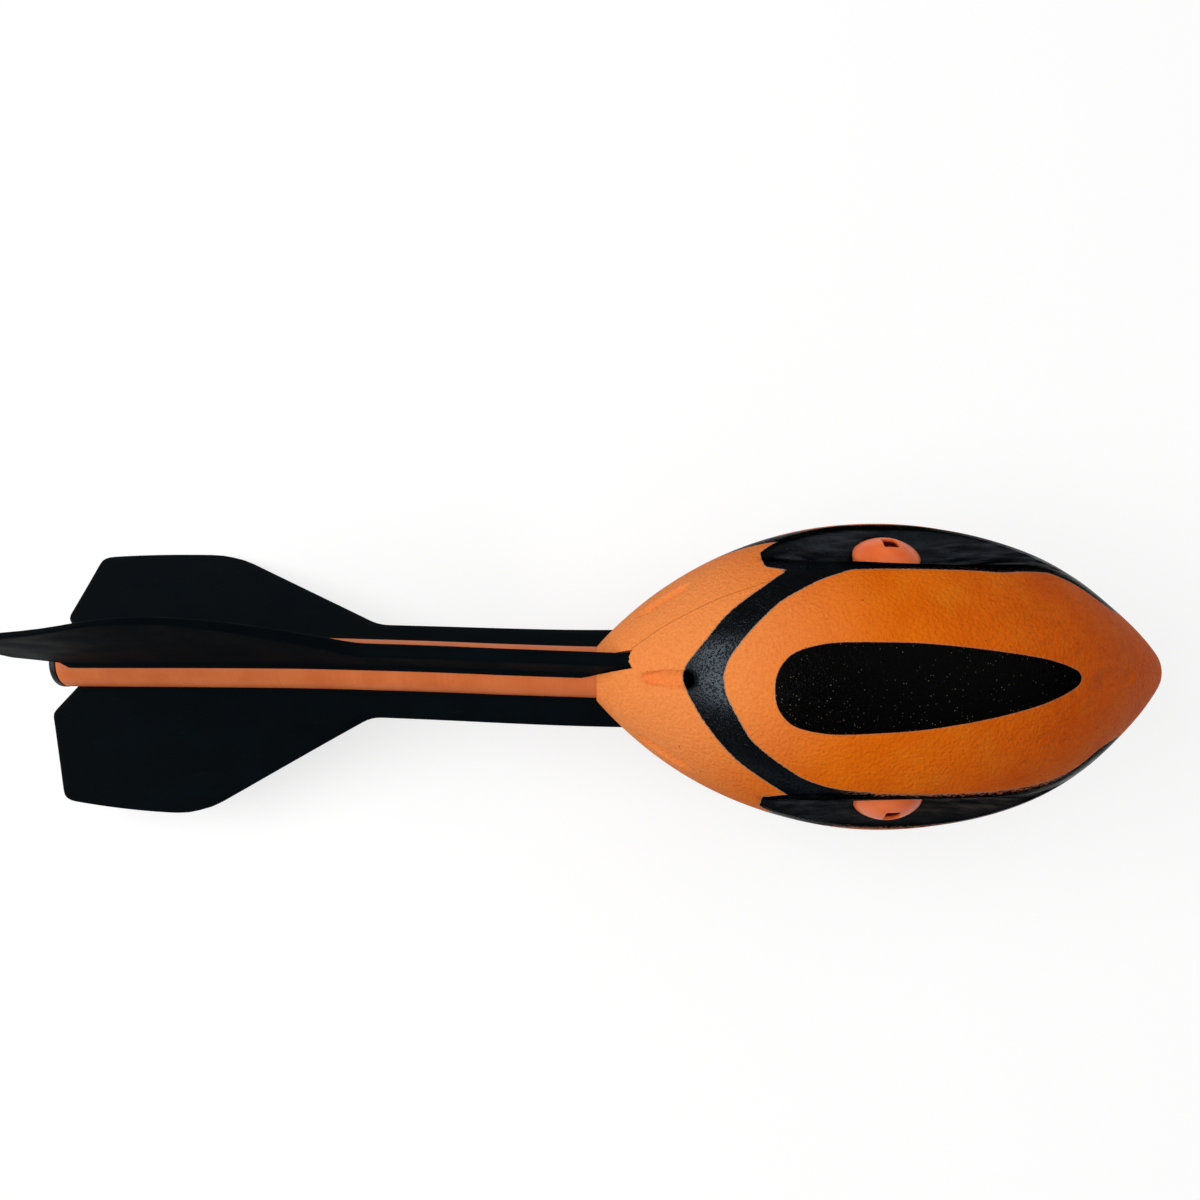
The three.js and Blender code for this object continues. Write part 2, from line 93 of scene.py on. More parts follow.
# %% Place the camera
PICTURE = 1200
FOCAL_PIXELS = 880
SENSOR = 36
CAMERA_FROM_LINE = 259.6
CAMERA_ALONG = 156.2
CAMERA_ABOVE = 21.7
CAMERA_SIDE = math.radians(1.7)
CAMERA_ROLL = math.radians(0.22)
CLIP_START = 0.01

out = Vector((0, -math.sin(CAMERA_SIDE), math.cos(CAMERA_SIDE)))
picture_up = out.cross(Vector((1, 0, 0)))
right = Vector((1, 0, 0)) * math.cos(CAMERA_ROLL) + picture_up * math.sin(CAMERA_ROLL)
upward = out.cross(right)
stand = Vector((CAMERA_ALONG, 0, 0)) + out * CAMERA_FROM_LINE + picture_up * CAMERA_ABOVE
turn = toy_turn @ Matrix((right, upward, out)).transposed()
camera_data = bpy.data.cameras.new("camera")
camera_data.sensor_width = SENSOR
camera_data.lens = FOCAL_PIXELS * SENSOR / PICTURE
camera_data.clip_start = CLIP_START
camera = bpy.data.objects.new("camera", camera_data)
bpy.context.collection.objects.link(camera)
camera.matrix_world = Matrix.Translation(toy_frame @ stand) @ turn.to_4x4()
bpy.context.scene.camera = camera
print("camera at", [round(x, 3) for x in camera.matrix_world.translation])

# %% [markdown]
# ## Floor and light
# A wide pale floor carries the toy and its shadow. For the camera it is lifted towards white by
# a light of its own, a little more with distance, so the shadow stays and the rest of the
# picture is clean. A long, narrow lamp like a window stands low past the tail end. It makes the
# rear of the head bright, draws one shine across the painted band and lets the nose fall into
# shade, as in the picture. A very large weak lamp on the other side and a dim even sky keep the
# shade open. The sky is white only where it is seen, so it doesn't turn the black paint grey.

# %% Helpers for node materials
def new_material(name):
    """An empty node material, its node tree and its output node."""
    material = bpy.data.materials.new(name)
    material.use_nodes = True
    tree = material.node_tree
    tree.nodes.clear()
    return material, tree, tree.nodes.new("ShaderNodeOutputMaterial")


def put(tree, kind, *values, **settings):
    """Adds a node. The values go to its inputs in turn: a number or colour, a socket, or None."""
    node = tree.nodes.new("ShaderNode" + kind)
    for key, value in settings.items():
        setattr(node, key, value)
    for socket, value in zip(node.inputs, values):
        if isinstance(value, bpy.types.NodeSocket):
            tree.links.new(value, socket)
        elif value is not None:
            socket.default_value = value
    return node


def seen_by(tree, *rays):
    """1 for the named kinds of ray, 0 for all others."""
    path = put(tree, "LightPath").outputs
    seen = path[rays[0]]
    for name in rays[1:]:
        seen = put(tree, "Math", seen, path[name], operation="MAXIMUM").outputs[0]
    return seen


def rgb(*screen):
    """A colour as it is written on a screen, from 0 to 255, as the shader's linear colour."""
    return tuple(c / 255 / 12.92 if c <= 10 else ((c / 255 + 0.055) / 1.055) ** 2.4 for c in screen) + (1,)


WHITE = rgb(255, 255, 255)
print("white for the shader:", WHITE)

# %% The floor
FLOOR_SIZE = 6
PAPER = rgb(160, 160, 160)
GLOW_NEAR, GLOW_FAR = (0.5, 0.72), (1.4, 0.93)  # [metres from the toy, strength]

floor_material, tree, output = new_material("floor")
paper = put(tree, "BsdfDiffuse", PAPER, 0)
from_toy = put(tree, "VectorMath", put(tree, "NewGeometry").outputs["Position"], operation="LENGTH")
level = put(tree, "MapRange", from_toy.outputs["Value"], GLOW_NEAR[0], GLOW_FAR[0], GLOW_NEAR[1], GLOW_FAR[1])
glow = put(tree, "Emission", WHITE, level.outputs[0])
lifted = put(tree, "AddShader", paper.outputs[0], glow.outputs[0])
seen = seen_by(tree, "Is Camera Ray", "Is Glossy Ray", "Is Transmission Ray")
floor_look = put(tree, "MixShader", seen, paper.outputs[0], lifted.outputs[0])
tree.links.new(floor_look.outputs[0], output.inputs["Surface"])
floor_mesh = bpy.data.meshes.new("floor")
corners = [(x * FLOOR_SIZE / 2, y * FLOOR_SIZE / 2, 0) for x, y in ((-1, -1), (1, -1), (1, 1), (-1, 1))]
floor_mesh.from_pydata(corners, [], [(0, 1, 2, 3)])
floor_mesh.materials.append(floor_material)
floor = bpy.data.objects.new("floor", floor_mesh)
bpy.context.collection.objects.link(floor)
print("floor:", FLOOR_SIZE, "m wide")

# %% The sky and two lamps
SKY_STRENGTH = 0.3
world = bpy.data.worlds.new("sky")
world.use_nodes = True
bpy.context.scene.world = world
tree = world.node_tree
tree.nodes.clear()
seen = seen_by(tree, "Is Camera Ray", "Is Transmission Ray")
level = put(tree, "MapRange", seen, 0, 1, SKY_STRENGTH, 1)
sky = put(tree, "Background", WHITE, level.outputs[0])
tree.links.new(sky.outputs[0], put(tree, "OutputWorld").inputs["Surface"])

HEAD_AT = (0.08, 0, 0.06)
WINDOW_AT, WINDOW_LENGTH, WINDOW_HEIGHT, WINDOW_SHARE = (-1.016, -0.01, 0.9), 1.4, 0.19, 0.69
FILL_AT, FILL_SIZE, FILL_SHARE = (0.75, 0.45, 1.55), 2.2, 0.26


def soft_lamp(name, place, width, height, share):
    """A lamp like a window. Its share is the part of full daylight that it gives at the head."""
    data = bpy.data.lights.new(name, "AREA")
    data.shape, data.size, data.size_y = "RECTANGLE", width, height
    away = Vector(place) - Vector(HEAD_AT)
    data.energy = share * math.pi**2 * away.length_squared
    lamp = bpy.data.objects.new(name, data)
    bpy.context.collection.objects.link(lamp)
    lamp.matrix_world = Matrix.Translation(place) @ away.to_track_quat("Z", "Y").to_matrix().to_4x4()
    print(f"{name}: {data.energy:.1f} W")


soft_lamp("window", WINDOW_AT, WINDOW_LENGTH, WINDOW_HEIGHT, WINDOW_SHARE)
soft_lamp("fill", FILL_AT, FILL_SIZE, FILL_SIZE, FILL_SHARE)

# %% [markdown]
# ## The foam head's form
# The head is a spindle: both of its sides follow one long arc, and a small ball rounds the
# nose. Three air grooves run along it. Each has a flat shoulder on either side, then a ridge,
# then a round scoop. The form repeats six times round the toy, so one sixth is drawn, from the
# middle of a panel, 0 degrees, to the middle of a groove, 60 degrees.

# %% A smooth curve through given places
def through(points, steps=6):
    """A smooth curve through points."""
    points = np.array(points, float)
    padded = np.concatenate([2 * points[:1] - points[1:2], points, 2 * points[-1:] - points[-2:-1]])
    a, b, c, d = padded[:-3], padded[1:-2], padded[2:-1], padded[3:]
    t = np.linspace(0, 1, steps, endpoint=False)[:, None, None]
    curve = 0.5 * (2 * b + (c - a) * t + (2 * a - 5 * b + 4 * c - d) * t**2 + (3 * b - a - 3 * c + d) * t**3)
    return np.concatenate([curve.transpose(1, 0, 2).reshape(-1, 2), points[-1:]])


print("a curve through 3 points has", len(through([(0, 0), (1, 1), (2, 0)])), "points")

# %% The spindle
HEAD_REAR = 155.2
HEAD_RADIUS = 44.4
ARC_RADIUS = 107.5
NOSE_RADIUS = 11
HOLE_RADIUS = 7.8
ARC_DEPTH = ARC_RADIUS - HEAD_RADIUS
WIDEST = HEAD_REAR + math.sqrt(ARC_RADIUS**2 - (ARC_DEPTH + HOLE_RADIUS) ** 2)
NOSE_CENTRE = WIDEST + math.sqrt((ARC_RADIUS - NOSE_RADIUS) ** 2 - ARC_DEPTH**2)
NOSE_TIP = NOSE_CENTRE + NOSE_RADIUS
NOSE_JOIN = NOSE_CENTRE + NOSE_RADIUS * (NOSE_CENTRE - WIDEST) / (ARC_RADIUS - NOSE_RADIUS)
PHOTO_ZERO = CAMERA_ALONG  # places below are counted from under the camera
# The front is a little fuller than the arc, then blunter:
# [millimetres past the widest place, millimetres added]
FULLER = through([(18, 0), (36, 0.42), (46, 0.5), (56, 0.1), (66, -0.5), (75, -0.35), (81, -0.1), (83.5, 0)])
FULLER_UNTIL = NOSE_TIP - 0.5


def spindle(x):
    """Radius of the head without grooves at a place along the toy."""
    x = np.asarray(x)
    side = np.sqrt(np.maximum(ARC_RADIUS**2 - (x - WIDEST) ** 2, 0)) - ARC_DEPTH
    nose = np.sqrt(np.maximum(NOSE_RADIUS**2 - (x - NOSE_CENTRE) ** 2, 0))
    fuller = np.interp(x - WIDEST, *FULLER.T) * (x < FULLER_UNTIL)
    return np.where(x < NOSE_JOIN, side, nose) + fuller


print(f"widest at {WIDEST:.1f} mm, nose tip at {NOSE_TIP:.1f} mm")

# %% [markdown]
# ## The air groove
# On the real toy the grooves lead air to the whistles. Each is a flat shoulder on either side, a
# ridge and a round scoop, blunt at the rear and running out towards the nose. A Boolean cut
# would leave ragged edges on a foam skin, so the groove is written as a height over the toy's
# line: its widths and depths are shares at a few places along it, run through smoothly.

# %% Shares along the air groove
GROOVE_REAR = WIDEST - 34.9
GROOVE_LENGTH = 81.5
SHOULDER_HALF = 15.2
SCOOP_HALF = 10.5
SCOOP_DEPTH = 7.2
RIDGE_DROP = 1.6
SHOULDER_LIMIT, SCOOP_LIMIT = 0.5, 0.35  # half widths stay within these shares of the head's radius
groove_places = [-0.03, 0, 0.065, 0.16, 0.28, 0.4, 0.54, 0.66, 0.78, 0.88, 1, 1.06]
shoulder_shares = [0.2, 0.28, 0.55, 0.79, 0.95, 1, 0.97, 0.89, 0.72, 0.5, 0.28, 0.15]
scoop_shares = [0.2, 0.27, 0.48, 0.7, 0.86, 0.95, 1, 0.95, 0.68, 0.36, 0.1, 0.05]
depth_shares = [0, 0.12, 0.3, 0.6, 0.86, 1, 0.92, 0.7, 0.4, 0.17, 0.03, 0]
drop_shares = [0, 0, 0.05, 0.25, 0.7, 1, 0.72, 0.35, 0.25, 0.15, 0.05, 0]


def smooth_share(shares, place):
    """Shares at the groove's places, run through smoothly and flat past both ends."""
    at = np.clip(place, groove_places[0], groove_places[-1])
    slope = np.gradient(shares, groove_places)
    slope[0] = slope[-1] = 0
    i = np.clip(np.searchsorted(groove_places, at) - 1, 0, len(shares) - 2)
    x0, y0 = np.take(groove_places, i), np.take(shares, i)
    span = np.take(groove_places, i + 1) - x0
    t = (at - x0) / span
    y1, s0, s1 = np.take(shares, i + 1), slope[i] * span, slope[i + 1] * span
    start, end = 2 * t**3 - 3 * t**2 + 1, 3 * t**2 - 2 * t**3
    return start * y0 + (t**3 - 2 * t**2 + t) * s0 + end * y1 + (t**3 - t**2) * s1


def groove_section(x):
    """Half widths of shoulder and scoop, scoop depth and ridge drop at places along the toy."""
    place = (x - GROOVE_REAR) / GROOVE_LENGTH
    radius = spindle(x)
    return (
        np.minimum(SHOULDER_HALF * smooth_share(shoulder_shares, place), radius * SHOULDER_LIMIT),
        np.minimum(SCOOP_HALF * smooth_share(scoop_shares, place), radius * SCOOP_LIMIT),
        SCOOP_DEPTH * smooth_share(depth_shares, place),
        RIDGE_DROP * smooth_share(drop_shares, place),
    )


print("groove from", round(GROOVE_REAR, 1), "to", round(GROOVE_REAR + GROOVE_LENGTH, 1), "mm")

# %% The groove as a height
LEAST_DEPTH = 1e-4
FLAT_BELOW = 0.001


def groove_height(x, across):
    """Height of the surface over the toy's line, at a distance from the groove's middle."""
    radius = spindle(x)
    half, ridge, depth, drop = groove_section(x)
    edge_z = np.sqrt(radius**2 - half**2)
    ridge_z = np.sqrt((radius - drop) ** 2 - ridge**2)
    depth = np.maximum(depth, LEAST_DEPTH)
    scoop = (ridge**2 + depth**2) / (2 * depth)
    u = np.abs(across)
    in_scoop = ridge_z - depth + scoop - np.sqrt(np.maximum(scoop**2 - u**2, 0))
    on_shoulder = ridge_z + (edge_z - ridge_z) * (u - ridge) / (half - ridge)
    outside = np.sqrt(np.maximum(radius**2 - u**2, 0))
    cut = np.where(u < ridge, in_scoop, np.where(u < half, on_shoulder, outside))
    return np.where((depth < FLAT_BELOW) & (drop < FLAT_BELOW), outside, cut)


deep_at = np.array(GROOVE_REAR + GROOVE_LENGTH * groove_places[5])
print(f"groove floor at {groove_height(deep_at, 0):.1f} mm from the line")

# %% [markdown]
# ## The head as a grid
# Foam keeps its shape, so the head is built directly instead of being simulated. Rows run round
# the toy and columns along it. The columns follow the groove's edges, so a ridge is one clean
# line of points and needs no very fine mesh. Each edge is rounded a little by averaging the
# height over a short width. Shallow leaf-shaped hollows are pressed in here too: one at each end
# of a panel and one behind each groove.

# %% Stations along and across the head
ROW_STEP = 0.85
NOSE_ROWS = 8
EDGE_SOFT, EDGE_SAMPLES, SOFT_LIMIT = 0.45, 7, 0.3
PANEL_COLUMNS, SHOULDER_COLUMNS, SCOOP_COLUMNS = 38, 4, 11
PANEL_CROWDING = 1.35  # columns stand closer towards the panel's middle
RIM = 0.1

rear_x = WIDEST - math.sqrt(ARC_RADIUS**2 - (ARC_DEPTH + HOLE_RADIUS + RIM) ** 2)
side_from = math.asin((rear_x - WIDEST) / ARC_RADIUS)
side_to = math.atan2(NOSE_CENTRE - WIDEST, ARC_DEPTH)
side_rows = round(ARC_RADIUS * (side_to - side_from) / ROW_STEP)
side_x = WIDEST + ARC_RADIUS * np.sin(np.linspace(side_from, side_to, side_rows))
nose_x = NOSE_CENTRE + NOSE_RADIUS * np.sin(np.linspace(side_to, math.pi / 2, NOSE_ROWS)[1:-1])
row_x = np.concatenate([side_x, nose_x])


def soft_groove_height(x, across):
    """Groove height with its edges rounded."""
    shifts = np.linspace(-EDGE_SOFT, EDGE_SOFT, EDGE_SAMPLES)
    return sum(groove_height(x, across + shift) for shift in shifts) / len(shifts)


def groove_stations(x):
    """Distances from the groove's middle at which its columns stand, from the panel inwards."""
    half, ridge, _, _ = groove_section(x)
    lip = np.minimum(EDGE_SOFT, ridge * SOFT_LIMIT)
    gap = np.minimum(EDGE_SOFT, (half - ridge) * SOFT_LIMIT)
    flat = half - ridge - gap - lip
    stations = [half + gap, half]
    stations += [half - gap - flat * i / SHOULDER_COLUMNS for i in range(SHOULDER_COLUMNS + 1)]
    stations += [ridge, ridge - lip]
    stations += [(ridge - lip) * (1 - i / SCOOP_COLUMNS) for i in range(1, SCOOP_COLUMNS + 1)]
    return np.stack(stations, axis=1)


across = groove_stations(row_x)
height = soft_groove_height(row_x[:, None], across)
groove_angle = np.pi / 3 - np.arctan2(across, height)
panel_angle = groove_angle[:, :1] * np.linspace(0, 1, PANEL_COLUMNS + 1)[:-1] ** PANEL_CROWDING
angle = np.concatenate([panel_angle, groove_angle], axis=1)
panel_radius = np.repeat(spindle(row_x)[:, None], PANEL_COLUMNS, 1)
radius = np.concatenate([panel_radius, np.hypot(across, height)], axis=1)
print("one sixth of the head:", angle.shape, "points")

# %% Leaf-shaped hollows
# [pointed end, blunt end, half width]
REAR_HOLLOW = (PHOTO_ZERO + 10.6, PHOTO_ZERO + 25, 2.5)
NOSE_HOLLOW = (PHOTO_ZERO + 145, PHOTO_ZERO + 127, 2.9)
HOLLOW_DEPTH = 1.9
BEHIND_SHARE, NOSE_SHARE = 0.8, 0.5  # depths behind the grooves and at the nose
LEAF_WIDTH = 1.61  # brings the leaf's widest place to 1
POINT_SLOPE, BLUNT_SLOPE = 6, 9  # the floor is reached within a sixth and a ninth of the length


def hollow(x, across, point, blunt, half_width):
    """Share of the depth of a leaf-shaped hollow: narrow at one end and blunt at the other."""
    share = np.clip((x - point) / (blunt - point), 0, 1)
    width = half_width * np.maximum(LEAF_WIDTH * np.sqrt(share) * (1 - share) ** 0.25, 1e-3)
    deep = np.clip(share * POINT_SLOPE, 0, 1) * np.clip((1 - share) * BLUNT_SLOPE, 0, 1)
    return deep * np.clip(1 - (across / width) ** 2, 0, 1) ** 0.5


def all_hollows(x, on_panel, on_groove):
    """Depth share of the hollows at a place: on each panel at both ends, and behind each groove."""
    rear, behind = hollow(x, on_panel, *REAR_HOLLOW), hollow(x, on_groove, *REAR_HOLLOW)
    return rear + BEHIND_SHARE * behind + NOSE_SHARE * hollow(x, on_panel, *NOSE_HOLLOW)


x = row_x[:, None]
hollows = all_hollows(x, angle * spindle(x), (np.pi / 3 - angle) * spindle(x))
radius -= HOLLOW_DEPTH * hollows
print("points in the hollows of one sixth:", int((hollows > 0).sum()))

# %% One sixth becomes the whole round
THIRD = math.tau / 3
WAVES = ((3, 9.0), (5, 13.0), (8, 7.0))  # slight unevenness of moulded foam: [times round, length]
WAVE_HEIGHT, WAVE_FROM, WAVE_OVER = 0.03, 12, 10

half_round = np.concatenate([-angle[:, :0:-1], angle[:, :-1]], axis=1)
half_radius = np.concatenate([radius[:, :0:-1], radius[:, :-1]], axis=1)
all_round = np.concatenate([half_round + THIRD * i for i in range(3)], axis=1)
all_radius = np.tile(half_radius, (1, 3))
wave = sum(np.sin(all_round * k + x / s + k) for k, s in WAVES)
all_radius += WAVE_HEIGHT * wave * np.clip((spindle(x) - WAVE_FROM) / WAVE_OVER, 0, 1)


def ring_points(x, angle, radius):
    """Points in the toy's own frame. Angle 0 is the top panel and grows to the camera's lower side."""
    x, angle, radius = np.broadcast_arrays(x, angle, radius)
    return np.stack([x, -radius * np.sin(angle), radius * np.cos(angle)], axis=-1).reshape(-1, 3)


def tube_faces(rows, columns):
    """Quads between rings of points, facing out."""
    i, j = np.meshgrid(np.arange(rows - 1), np.arange(columns), indexing="ij")
    a, b = i * columns + j, i * columns + (j + 1) % columns
    return np.stack([a, b, b + columns, a + columns], axis=-1).reshape(-1, 4).tolist()


def capped_rings(rings, first, last):
    """Points and faces of a closed body of revolved rings with a point at each end."""
    rows, columns = len(rings), len(rings[0])
    points = np.concatenate([np.concatenate(rings), [first, last]])
    faces = tube_faces(rows, columns)
    end, start = rows * columns + 1, rows * columns
    top = (rows - 1) * columns
    faces += [(start, (j + 1) % columns, j) for j in range(columns)]
    faces += [(end, top + j, top + (j + 1) % columns) for j in range(columns)]
    return points, faces


rings = ring_points(x, all_round, all_radius).reshape(len(row_x), -1, 3)
head_points, head_faces = capped_rings(rings, (rear_x, 0, 0), (NOSE_TIP, 0, 0))
print("head:", len(head_points), "points")

# %% [markdown]
# ## A tube that has bent
# The photographed toy has been thrown a lot. Its tube has bent by a few millimetres, its fins
# are twisted a little about the tube, and the nose of the foam has set to one side. These
# helpers move points in the same way, so the tube, the fins and their rooms in the foam agree.

# %% Bending, twisting and setting
# [millimetres along the toy, millimetres or degrees there]
TUBE_BEND = through([
    (-10, 3.2), (40, 3), (70, 2.75), (90, 2.3), (110, 1.75), (130, 1.05), (150, 0.5), (170, 0.2), (200, 0)])
FIN_TWIST = through([
    (-20, -0.8), (-8, -0.5), (50, 2.5), (100, 3.9), (130, 3.6), (150, 3), (178, 0.8), (190, 0.5)])
NOSE_SET, NOSE_SET_FROM = 1.4, PHOTO_ZERO + 100


def twisted(points):
    """Fin points turned a little about the tube, as the soft fins sit on it."""
    turns = np.radians(np.interp(points[:, 0], *FIN_TWIST.T))
    x, y, z = points.T
    return np.stack([x, y * np.cos(turns) + z * np.sin(turns), z * np.cos(turns) - y * np.sin(turns)], axis=1)


def moved_up(points, shift):
    """Points moved towards the picture's upper edge."""
    return np.asarray(points) + np.stack([0 * shift, shift, 0 * shift], axis=1)


def leaning(points):
    """Points that go with the bent tube."""
    return moved_up(points, np.interp(np.asarray(points)[:, 0], *TUBE_BEND.T))


def nose_set(points):
    """Points of the foam, with the nose set a little to one side."""
    share = np.clip((points[:, 0] - NOSE_SET_FROM) / (NOSE_TIP - NOSE_SET_FROM), 0, 1)
    return moved_up(points, NOSE_SET * share**1.3)


print(f"the tube's end is {TUBE_BEND[:, 1].max():.1f} mm off the straight line")
print(f"a fin turns by up to {FIN_TWIST[:, 1].max():.1f} degrees")

# %% [markdown]
# ## Openings in the foam
# The tube, the roots of the three fins and the three whistles go into the foam. Their rooms are
# drawn as closed bodies and cut out with a Boolean, the way that the foam would be bored. The
# roof of a fin's slot is uneven, because on the real toy the thin foam there is torn.

# %% Bodies to mesh objects, and cutting
def make_object(name, points, faces):
    """A mesh object from points in the toy's frame."""
    mesh = bpy.data.meshes.new(name)
    mesh.from_pydata([toy_frame @ Vector(p) for p in points], [], faces)
    mesh.update()
    made = bpy.data.objects.new(name, mesh)
    bpy.context.collection.objects.link(made)
    return made


def apply_modifiers(made):
    """Puts what the modifiers make into the mesh itself."""
    graph = bpy.context.evaluated_depsgraph_get()
    mesh = bpy.data.meshes.new_from_object(made.evaluated_get(graph))
    made.modifiers.clear()
    made.data = mesh


def combine(made, other, operation="DIFFERENCE"):
    """Cuts another closed body away, joins it or keeps only what both share, and drops the other."""
    boolean = made.modifiers.new("combine", "BOOLEAN")
    boolean.object = other
    boolean.operation = operation
    boolean.solver = "MANIFOLD"
    apply_modifiers(made)
    bpy.data.objects.remove(other)


def open_edges(made):
    """Edges that don't join exactly two faces. A closed body has none."""
    shape = bmesh.new()
    shape.from_mesh(made.data)
    found = sum(len(edge.link_faces) != 2 for edge in shape.edges)
    shape.free()
    return found


# %% The rooms for tube, fins and whistles
TUBE_RADIUS = 7.5
TUBE_IN_FOAM = 104
TUBE_ROOM_RADIUS, TUBE_ROOM_DOME = 7.65, 5
TONGUE_HALF, TONGUE_LOW, TONGUE_TOP, TONGUE_REACH = 2.65, 6, 17.0, 21
WHISTLE_RADIUS = 9.2
POCKET_RADIUS = 9.4
WHISTLE_AT = WIDEST - 1.4
WHISTLE_TOP = HEAD_RADIUS - 1.1
WHISTLE_DOME, WHISTLE_SKIRT = 7.6, 3
WHISTLE_SEAM = WHISTLE_TOP - WHISTLE_DOME - WHISTLE_SKIRT
CUP_DEPTH = 17
CLEARANCE = 0.3
SLOT_OVERRUN, POCKET_OVERRUN, BORE_OVERRUN = 12, 6, 10  # so that the rooms open to the outside


def turn_about_line(points, angle):
    """Points turned about the toy's line, from the top panel's middle to an angle in radians."""
    c, s = math.cos(angle), math.sin(angle)
    x, y, z = np.asarray(points, float).T
    return np.stack([x, y * c - z * s, y * s + z * c], axis=1)


def lathe(profile, sides, along_line=True):
    """A body turned from [place, radius] points, about the toy's line or about an upright line."""
    turns = np.linspace(0, 2 * np.pi, sides, endpoint=False)
    rings = [ring_points(place, turns, max(r, 1e-3)) for place, r in profile]
    points, faces = capped_rings(rings, (profile[0][0], 0, 0), (profile[-1][0], 0, 0))
    if not along_line:
        points = points[:, [1, 2, 0]]
    return points, faces


def several(bodies):
    """Joins lists of points and faces into one."""
    points, faces = [], []
    for body_points, body_faces in bodies:
        faces += [tuple(i + len(points) for i in face) for face in body_faces]
        points += [tuple(p) for p in body_points]
    return np.array(points), faces


def torn_slot():
    """The room for a fin's tongue, upright over the line, with an uneven roof."""
    front = HEAD_REAR + TONGUE_REACH + CLEARANCE
    x = np.linspace(HEAD_REAR - SLOT_OVERRUN, front, 70)
    t = np.linspace(-TONGUE_HALF, TONGUE_HALF, 9)
    x, t = np.meshgrid(x, t, indexing="ij")
    torn = 0.75 * np.abs(t / TONGUE_HALF) ** 3 + 0.18 * np.sin(t * 4.1 + x * 2.3) + 0.12 * np.sin(t * 9.7 - x)
    top = np.stack([x, t, TONGUE_TOP + torn], axis=-1)[:, ::-1]
    bottom = np.stack([x, t, np.full_like(x, TONGUE_LOW)], axis=-1)
    return np.concatenate([bottom, top], axis=1)


slot_rings = torn_slot()
slot = capped_rings(list(slot_rings), slot_rings[0].mean(0), slot_rings[-1].mean(0))
pocket_floor = WHISTLE_SEAM - CUP_DEPTH - CLEARANCE
pocket_ends = [(pocket_floor, POCKET_RADIUS), (HEAD_RADIUS + POCKET_OVERRUN, POCKET_RADIUS)]
pocket = lathe(pocket_ends, 64, along_line=False)
pocket = (pocket[0] + [WHISTLE_AT, 0, 0], pocket[1])
rooms = [(leaning(turn_about_line(twisted(slot[0]), THIRD * i - HEAD_TURN)), slot[1]) for i in range(3)]
rooms += [(turn_about_line(pocket[0], THIRD * (i + 0.5)), pocket[1]) for i in range(3)]
tube_top = HEAD_REAR + TUBE_IN_FOAM + 2 * CLEARANCE
bore = [(place, TUBE_ROOM_RADIUS) for place in np.linspace(HEAD_REAR - BORE_OVERRUN, tube_top - 2, 40)]
for turn in np.linspace(0, 1.5, 8):
    bore.append((tube_top + TUBE_ROOM_DOME * math.sin(turn), TUBE_ROOM_RADIUS * math.cos(turn)))
tube_room = lathe(bore, 72)

head = make_object("foam_head_skin", head_points, head_faces)
print("open edges before cutting:", open_edges(head))
combine(head, make_object("rooms", *several(rooms)))
combine(head, make_object("tube_room", leaning(tube_room[0]), tube_room[1]))
print("open edges after cutting:", open_edges(head), "faces:", len(head.data.polygons))

# %% [markdown]
# ## Where the paint lies
# Black paint covers the air grooves, a band that joins them behind the panels, and a drop on
# each panel. An image would do for this, but a picture file isn't wanted here, and its edges
# would blur close up. Instead every point of the head stores how far it is from each painted
# edge, in millimetres and negative inside. The material turns that into a crisp or a worn edge.

# %% Outlines of the paint
# Places are [millimetres from under the camera, degrees from the middle of the panel or the groove].
# More degrees are further round towards the camera's lower side.
BAND_BEHIND = [
    (54, -52), (49.5, -46.4), (46.1, -43.4), (42.1, -39.6), (37.9, -35.7), (34.1, -31.3),
    (31.5, -27.2), (29.2, -22.5), (26.3, -16.4), (23.9, -10.9), (22.7, -7.2), (22.2, -3.5),
    (22.2, 0.5), (22.7, 4.3), (23.6, 8.6), (25.3, 14.5), (27.5, 20.8), (31.6, 29.6), (36.5, 37.2),
    (42.2, 42.7), (49.9, 49.3), (54, 53)]
BAND_AHEAD = [
    (72, 50), (70, 41), (66.8, 40.4), (61.9, 40.5), (56.8, 39.6), (51.7, 37.4), (46.4, 33),
    (42.3, 28.9), (38.7, 24.2), (36, 17.3), (34.3, 12.5), (32.5, 6.2), (31.9, 0.5), (32, -4),
    (33.5, -10.5), (36, -16.2), (38.6, -20.9), (41.2, -25), (46.4, -31.5), (51.6, -35.4),
    (56.9, -38.6), (62.1, -40.7), (66.1, -42.1), (70, -42.6), (72, -50)]
DROP = [
    (44.1, 0), (44.4, 4.5), (45.5, 8.6), (47.7, 12.3), (50.6, 14.3), (54.9, 15.4), (59.6, 15.7),
    (69, 14.9), (78.8, 14), (88.7, 12.6), (99, 10.85), (110, 8.4), (116, 6.2), (119.6, 4.2),
    (121.8, 2.3), (122.5, 0)]
DROP_TILT, DROP_MIDDLE = 0.037, 97  # the drop was masked a little askew
GROOVE_REAR_EDGE = [(44.4, -4.1), (44.2, 7.8)]
GROOVE_SIDE = [
    (44.2, 7.8), (46.7, 10.6), (49.7, 13.3), (52.6, 14.7), (58, 16.5), (67.4, 18.1), (77.5, 18.5),
    (87.9, 18.7), (98.8, 17.7), (104.6, 17.1), (111, 14.4), (118, 11), (120.6, 9.5), (124.7, 9.2),
    (131, 10), (137.1, 12.7), (142, 12), (145, 7.5), (146.2, 0)]
GROOVE_OTHER_SIDE = [
    (146.2, 0), (145, -10), (141, -17.5), (134.5, -20.3), (128.6, -15.9), (122.6, -14.3),
    (116.2, -15), (109.9, -16.3), (103.8, -17.4), (89.8, -19.1), (76.8, -19.4), (66.9, -18.9),
    (57.4, -15.8), (50, -10.9), (46.9, -7.5), (44.4, -4.1)]
